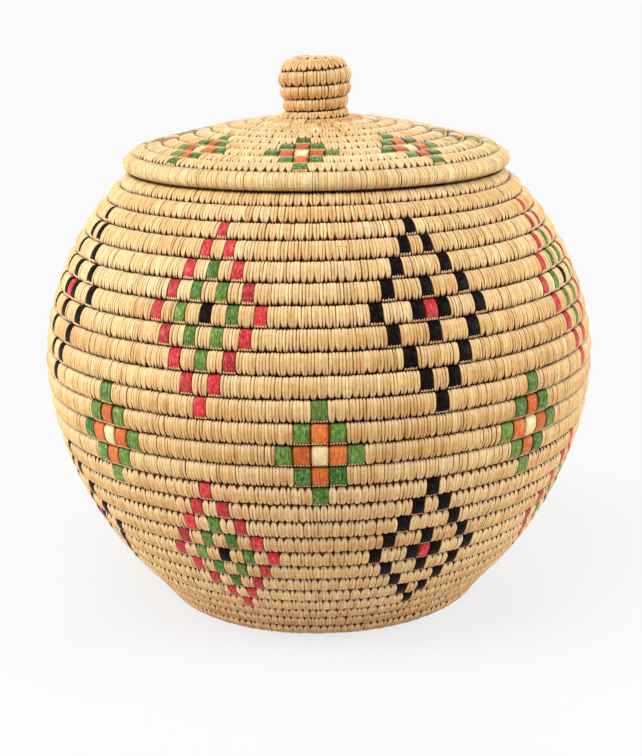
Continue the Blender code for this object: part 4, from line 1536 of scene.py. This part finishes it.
@dataclass
class Lid:
    """The lid: domed coil with its knob, rim roll and flange.

    dome_line and knob_line are points of radius and height over the seat, and outer_rows is how many of the
    dome_rows belong to the outer coil. The rim roll has rim_steps steps in its turn and rim_scarf more where its
    ends lie side by side, thinned by rim_thinning and moved apart. The crosses keep the width in millimetres that
    they have at cross_radius.
    """

    seat: float = 161.59
    rim_outer_radius: float = 71.4
    rim_height: float = 6.45
    rim_lift: float = 0.42
    rim_inset: float = 0.8
    rim_steps: int = 15
    rim_scarf: int = 2
    rim_thinning: float = 0.84
    rim_apart: float = 0.55
    rim_wrap: tuple[float, float] = (3.85, 3.225)
    dome_line: tuple[tuple[float, float], ...] = (
        (66.5, 5.7), (63.7, 6.75), (60.7, 7.5), (54.9, 8.8), (49.0, 10.3), (43.1, 11.65), (37.2, 12.85), (31.4, 13.95),
        (25.5, 14.85), (19.6, 15.6), (14.6, 16.15))
    outer_rows: float = 5.0
    dome_rows: float = 8.75
    ring_rows: float = 1.0
    grip_rows: float = 3.0
    dome_pitch: float = 6.3
    knob_ring_pitch: float = 5.2
    knob_grip_pitch: float = 4.7
    knob_cap_pitch: float = 4.5
    knob_line: tuple[tuple[float, float], ...] = (
        (9.6, 19.1), (9.5, 24.3), (10.6, 29.4), (10.6, 34.9), (7.4, 37.75), (0.0, 37.75))
    middle_radius: float = 1.3
    end_angle: float = math.radians(77.0)
    tail_thickness: float = 0.8
    flange_pitch: float = 5.2
    flange_radius: float = 59.52
    flange_top: float = 164.85
    flange_turns: int = 2
    flange_steps: int = 15
    flange_wrap: tuple[float, float] = (2.5, 2.55)
    roll_sections: int = 90
    line_steps: int = 8
    cross_angles: tuple[float, ...] = (-5.2, 37.8, 83.5, 129.0, 174.0, -141.0, -96.0, -48.4)
    cross_lean: float = -0.3
    cross_radius: float = 50.0
    body: str = "lid"

    def outline(self) -> list[tuple[float, float]]:
        """Draw the coil's middle line from the dome's edge up over the knob to its centre.

        Returns:
            Points of radius and height on a smooth curve through the lines' points.
        """
        points = [(radius, self.seat + rise) for radius, rise in self.dome_line + self.knob_line]
        smooth = []
        for index in range(len(points) - 1):
            before, first = points[max(index - 1, 0)], points[index]
            second, after = points[index + 1], points[min(index + 2, len(points) - 1)]
            for step in range(self.line_steps):
                t = step / self.line_steps
                smooth.append(tuple(
                    0.5 * (2.0 * first[k] + (second[k] - before[k]) * t
                           + (2.0 * before[k] - 5.0 * first[k] + 4.0 * second[k] - after[k]) * t ** 2
                           + (3.0 * first[k] - before[k] - 3.0 * second[k] + after[k]) * t ** 3) for k in range(2)))
        smooth.append(points[-1])
        return smooth

    def path(self) -> Spiral:
        """Wind the lid's coil.

        Returns:
            The coil.
        """
        rows = [(self.dome_rows, self.dome_pitch), (self.ring_rows, self.knob_ring_pitch),
                (self.grip_rows, self.knob_grip_pitch), (math.inf, self.knob_cap_pitch)]
        return Spiral(self.outline(), rows, self.end_angle, -1.0, -1.0)

    def rim_path(self) -> RollPath:
        """Lay out the rim roll: one turn whose thin ends lie side by side at the back.

        Returns:
            The roll.
        """
        half = self.rim_height / 2.0
        corner = half / math.cos(math.pi / 6.0) + self.rim_inset
        count = self.rim_steps + self.rim_scarf
        index = np.arange(0, count * 4 + 1) / 4.0
        from_start, from_end = index / self.rim_scarf, (count - index) / self.rim_scarf
        near_end = np.clip(1.0 - np.minimum(from_start, from_end), 0.0, 1.0)
        slimness = 1.0 - self.rim_thinning * near_end ** 3
        side = np.where(from_start < from_end, -1.0, 1.0)
        radius = self.rim_outer_radius - corner + side * (1.0 - slimness) * (corner + self.rim_apart)
        end_step = self.rim_steps // 2 - self.rim_scarf // 2
        return RollPath(radius, self.seat + self.rim_lift + half * slimness, half * slimness, index / self.rim_steps,
                        end_step * TURN / self.rim_steps)

    def flange_path(self) -> RollPath:
        """Lay out the flange: two rows stacked inside the mouth.

        Returns:
            The roll.
        """
        steps = self.flange_turns * self.flange_steps
        index = np.arange(0, steps + 1)
        height = self.flange_top - self.flange_pitch * (steps - index) / self.flange_steps
        return RollPath(np.full(steps + 1, self.flange_radius), height, np.full(steps + 1, self.flange_pitch / 2.0),
                        index / self.flange_steps, self.flange_steps // 2 * TURN / self.flange_steps)

    def build(self, templates: Templates, palette: Palette) -> None:
        """Make every stretch of the lid's coil, then the rim roll and the flange.

        Args:
            templates: The straight pieces that are copied.
            palette: The materials.
        """
        path = self.path()
        straps = Band((LID_CROSS,), self.cross_angles, 0, self.cross_lean, self.cross_radius).straps(path)
        outer = RowShape(2.5, 1.6, 1.1, strand_rise=0.15, pull=0.42, warmth=0.0, inner_spacing=1.9, edge_pull=0.66,
                         paleness=0.22)
        inner = replace(outer, crest=2.6, valley=1.4, warmth=0.02, edge_pull=None, paleness=0.16)
        ring = RowShape(2.35, 1.25, 1.0, pull=0.55, warmth=0.5)
        grip = RowShape(2.7, 1.5, 1.0, strand_rise=0.26, pull=0.55, warmth=0.28, paleness=-0.15)
        cap = RowShape(2.35, 1.1, 1.0, pull=0.5, warmth=0.22)
        # Each stretch ends at a turn, which is its count of rows from the lid's edge
        ring_end = self.dome_rows + self.ring_rows
        grip_end = ring_end + self.grip_rows
        for node, low, high, shape, profile, inside, seed in (
            ("lid_outer_coil", path.tail_turn(self.tail_thickness), self.outer_rows, outer, DOME, True, 21),
            ("lid_inner_coil", self.outer_rows, self.dome_rows, inner, DOME, True, 22),
            ("knob_ring_coil", self.dome_rows, ring_end, ring, SEWN, False, 23),
            ("knob_grip_coil", ring_end, grip_end, grip, SEWN, False, 24),
            ("knob_cap_coil", grip_end, path.turn_at_radius(self.middle_radius), cap, SEWN, False, 25),
        ):
            stretch = CoilStretch(node, self.body, low, high, shape, inside=inside, seed=seed, profile=profile,
                                  upwards=True)
            stretch.build(path, templates, palette, straps)
        self.build_rolls(palette)

    def build_rolls(self, palette: Palette) -> None:
        """Wind the rim roll and the flange.

        Args:
            palette: The materials.
        """
        rings = 13
        template = Template("wound_strand", rings)
        angles = np.linspace(-0.93, 0.93, rings)
        # Painted shade round the roll: brown high on its inner side, near black low on it, where it meets dome and
        # mouth
        profile = wound(angles, tuple(0.5 * abs(angles)),
                        (0.1, 0.2, 0.7, 0.2, 0.0, 0.0, 0.0, 0.08, 0.4, 1.0, 1.0, 0.3, 0.1))
        rim = RowShape(3.9, 1.0, 0.95, strand_rise=0.15, warmth=0.07, paleness=0.24)
        flange = RowShape(2.5, 1.0, 1.3, warmth=0.3)
        for node, path, shape, wrap, seed in (
            ("lid_rim_coil", self.rim_path(), rim, self.rim_wrap, 31),
            ("lid_flange_coil", self.flange_path(), flange, self.flange_wrap, 32),
        ):
            low, high = float(path.turns[0]), float(path.turns[-1])
            stretch = CoilStretch(node, self.body, low, high, shape, seed=seed)
            bundle = lay_bundle(node + "_bundle", path, shape, low, high, self.roll_sections, palette.bundle, wrap)
            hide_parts(node)
            stretch.hang(bundle)
            lots = spread(path, low, high, shape.spacing, [], shape, seed)
            stretch.hang(lay_strands(node + "_strands", template, profile, path, shape, lots, [palette.strand],
                                     wrap=wrap))


@dataclass(frozen=True)
class Studio:
    """Pale floor, soft studio light and the camera at the photograph's viewing angle.

    Each lamp has its name, place, size and power in watts.
    """

    camera_place: tuple[float, float, float] = (0.65, -582.4, 233.8)
    pitch_down: float = math.radians(14.67)
    roll: float = math.radians(-0.8)
    focal_pixels: float = 1579.5
    picture_height: float = 756.0
    sensor: float = 36.0
    floor_colour: str = "#FAFAFA"
    floor_matt: str = "#E4E4E4"
    floor_size: float = 12000.0
    floor_drop: float = 0.4
    lamps: tuple[tuple[str, tuple[float, float, float], float, float], ...] = (
        ("lamp_overhead", (-140.0, -420.0, 900.0), 450.0, 4.6),
        ("lamp_left", (-950.0, -200.0, 400.0), 600.0, 8.4),
        ("lamp_right", (950.0, -200.0, 400.0), 600.0, 7.0),
        ("lamp_back", (100.0, 850.0, 700.0), 600.0, 3.6),
    )
    lamp_aim: tuple[float, float, float] = (0.0, 0.0, 95.0)
    fill: float = 0.395

    def build(self) -> None:
        """Make camera, floor, lamps and world."""
        scene = bpy.context.scene
        scene.view_settings.view_transform = "Standard"
        camera = bpy.data.cameras.new("camera")
        camera.sensor_width = self.sensor
        camera.lens = self.focal_pixels / self.picture_height * self.sensor
        holder = bpy.data.objects.new("camera", camera)
        look = Euler((math.pi / 2.0 - self.pitch_down, 0.0, 0.0)).to_matrix() @ Matrix.Rotation(self.roll, 3, "Z")
        holder.matrix_world = Matrix.Translation(Vector(self.camera_place) * MM) @ look.to_4x4()
        scene.collection.objects.link(holder)
        scene.camera = holder
        self.add_floor()
        self.add_lamps()
        self.add_world()

    def add_floor(self) -> None:
        """Lay a wide pale floor that keeps a soft shadow."""
        bpy.ops.object.select_all(action="DESELECT")
        bpy.ops.mesh.primitive_plane_add(size=self.floor_size * MM, location=(0.0, 0.0, -self.floor_drop * MM))
        floor = bpy.context.object
        floor.name = "floor"
        bpy.ops.object.transform_apply(location=True, rotation=False, scale=False)
        material, _ = new_material("pale_floor")
        tree = material.node_tree
        tree.nodes.clear()
        matt = add_node(tree, "ShaderNodeBsdfDiffuse", {"Color": linear(self.floor_matt)})
        glow = add_node(tree, "ShaderNodeEmission", {"Color": linear(self.floor_colour), "Strength": 1.0})
        rays = add_node(tree, "ShaderNodeLightPath")
        seen = add_node(tree, "ShaderNodeMath", {0: rays.outputs["Is Camera Ray"], 1: rays.outputs["Is Glossy Ray"]},
                        operation="ADD", use_clamp=True)
        # The floor takes shadow near the basket only, and is as pale as the background 0.45 m away
        place = add_node(tree, "ShaderNodeTexCoord")
        far = add_node(tree, "ShaderNodeVectorMath", {0: place.outputs["Object"]}, operation="LENGTH")
        pale = add_node(tree, "ShaderNodeMapRange", {"Value": far.outputs["Value"], "From Min": 0.1, "From Max": 0.45,
                                                     "To Min": 0.8, "To Max": 1.0}, interpolation_type="SMOOTHSTEP")
        share = add_node(tree, "ShaderNodeMath", {0: seen.outputs[0], 1: pale.outputs[0]}, operation="MULTIPLY")
        mixed = add_node(tree, "ShaderNodeMixShader", {0: share.outputs[0], 1: matt.outputs[0], 2: glow.outputs[0]})
        add_node(tree, "ShaderNodeOutputMaterial", {"Surface": mixed.outputs[0]})
        floor.data.materials.append(material)

    def add_lamps(self) -> None:
        """Hang four soft lamps: one overhead in front, one at each side and one behind."""
        aim = Vector(self.lamp_aim) * MM
        for name, place, size, power in self.lamps:
            lamp = bpy.data.lights.new(name, "AREA")
            lamp.shape = "SQUARE"
            lamp.size = size * MM
            lamp.energy = power
            holder = bpy.data.objects.new(name, lamp)
            spot = Vector(place) * MM
            holder.matrix_world = Matrix.Translation(spot) @ (aim - spot).to_track_quat("-Z", "Y").to_matrix().to_4x4()
            bpy.context.scene.collection.objects.link(holder)

    def add_world(self) -> None:
        """Set a pale world that fills the shadows and is near white behind the floor."""
        world = bpy.data.worlds.new("studio")
        bpy.context.scene.world = world
        world.use_nodes = True
        tree = world.node_tree
        tree.nodes.clear()
        rays = add_node(tree, "ShaderNodeLightPath")
        fill = add_node(tree, "ShaderNodeBackground", {"Color": linear("#FFFFFF"), "Strength": self.fill})
        behind = add_node(tree, "ShaderNodeBackground", {"Color": linear(self.floor_colour), "Strength": 1.0})
        mixed = add_node(tree, "ShaderNodeMixShader", {0: rays.outputs["Is Camera Ray"], 1: fill.outputs[0],
                                                       2: behind.outputs[0]})
        add_node(tree, "ShaderNodeOutputWorld", {"Surface": mixed.outputs[0]})


def main() -> None:
    """Build the basket, the lid and the studio."""
    logging.basicConfig(level=logging.INFO, format="%(message)s")
    bpy.ops.object.select_all(action="DESELECT")
    templates, palette = Templates(), Palette()
    Basket().build(templates, palette)
    Lid().build(templates, palette)
    Studio().build()


if __name__ == "__main__":
    main()
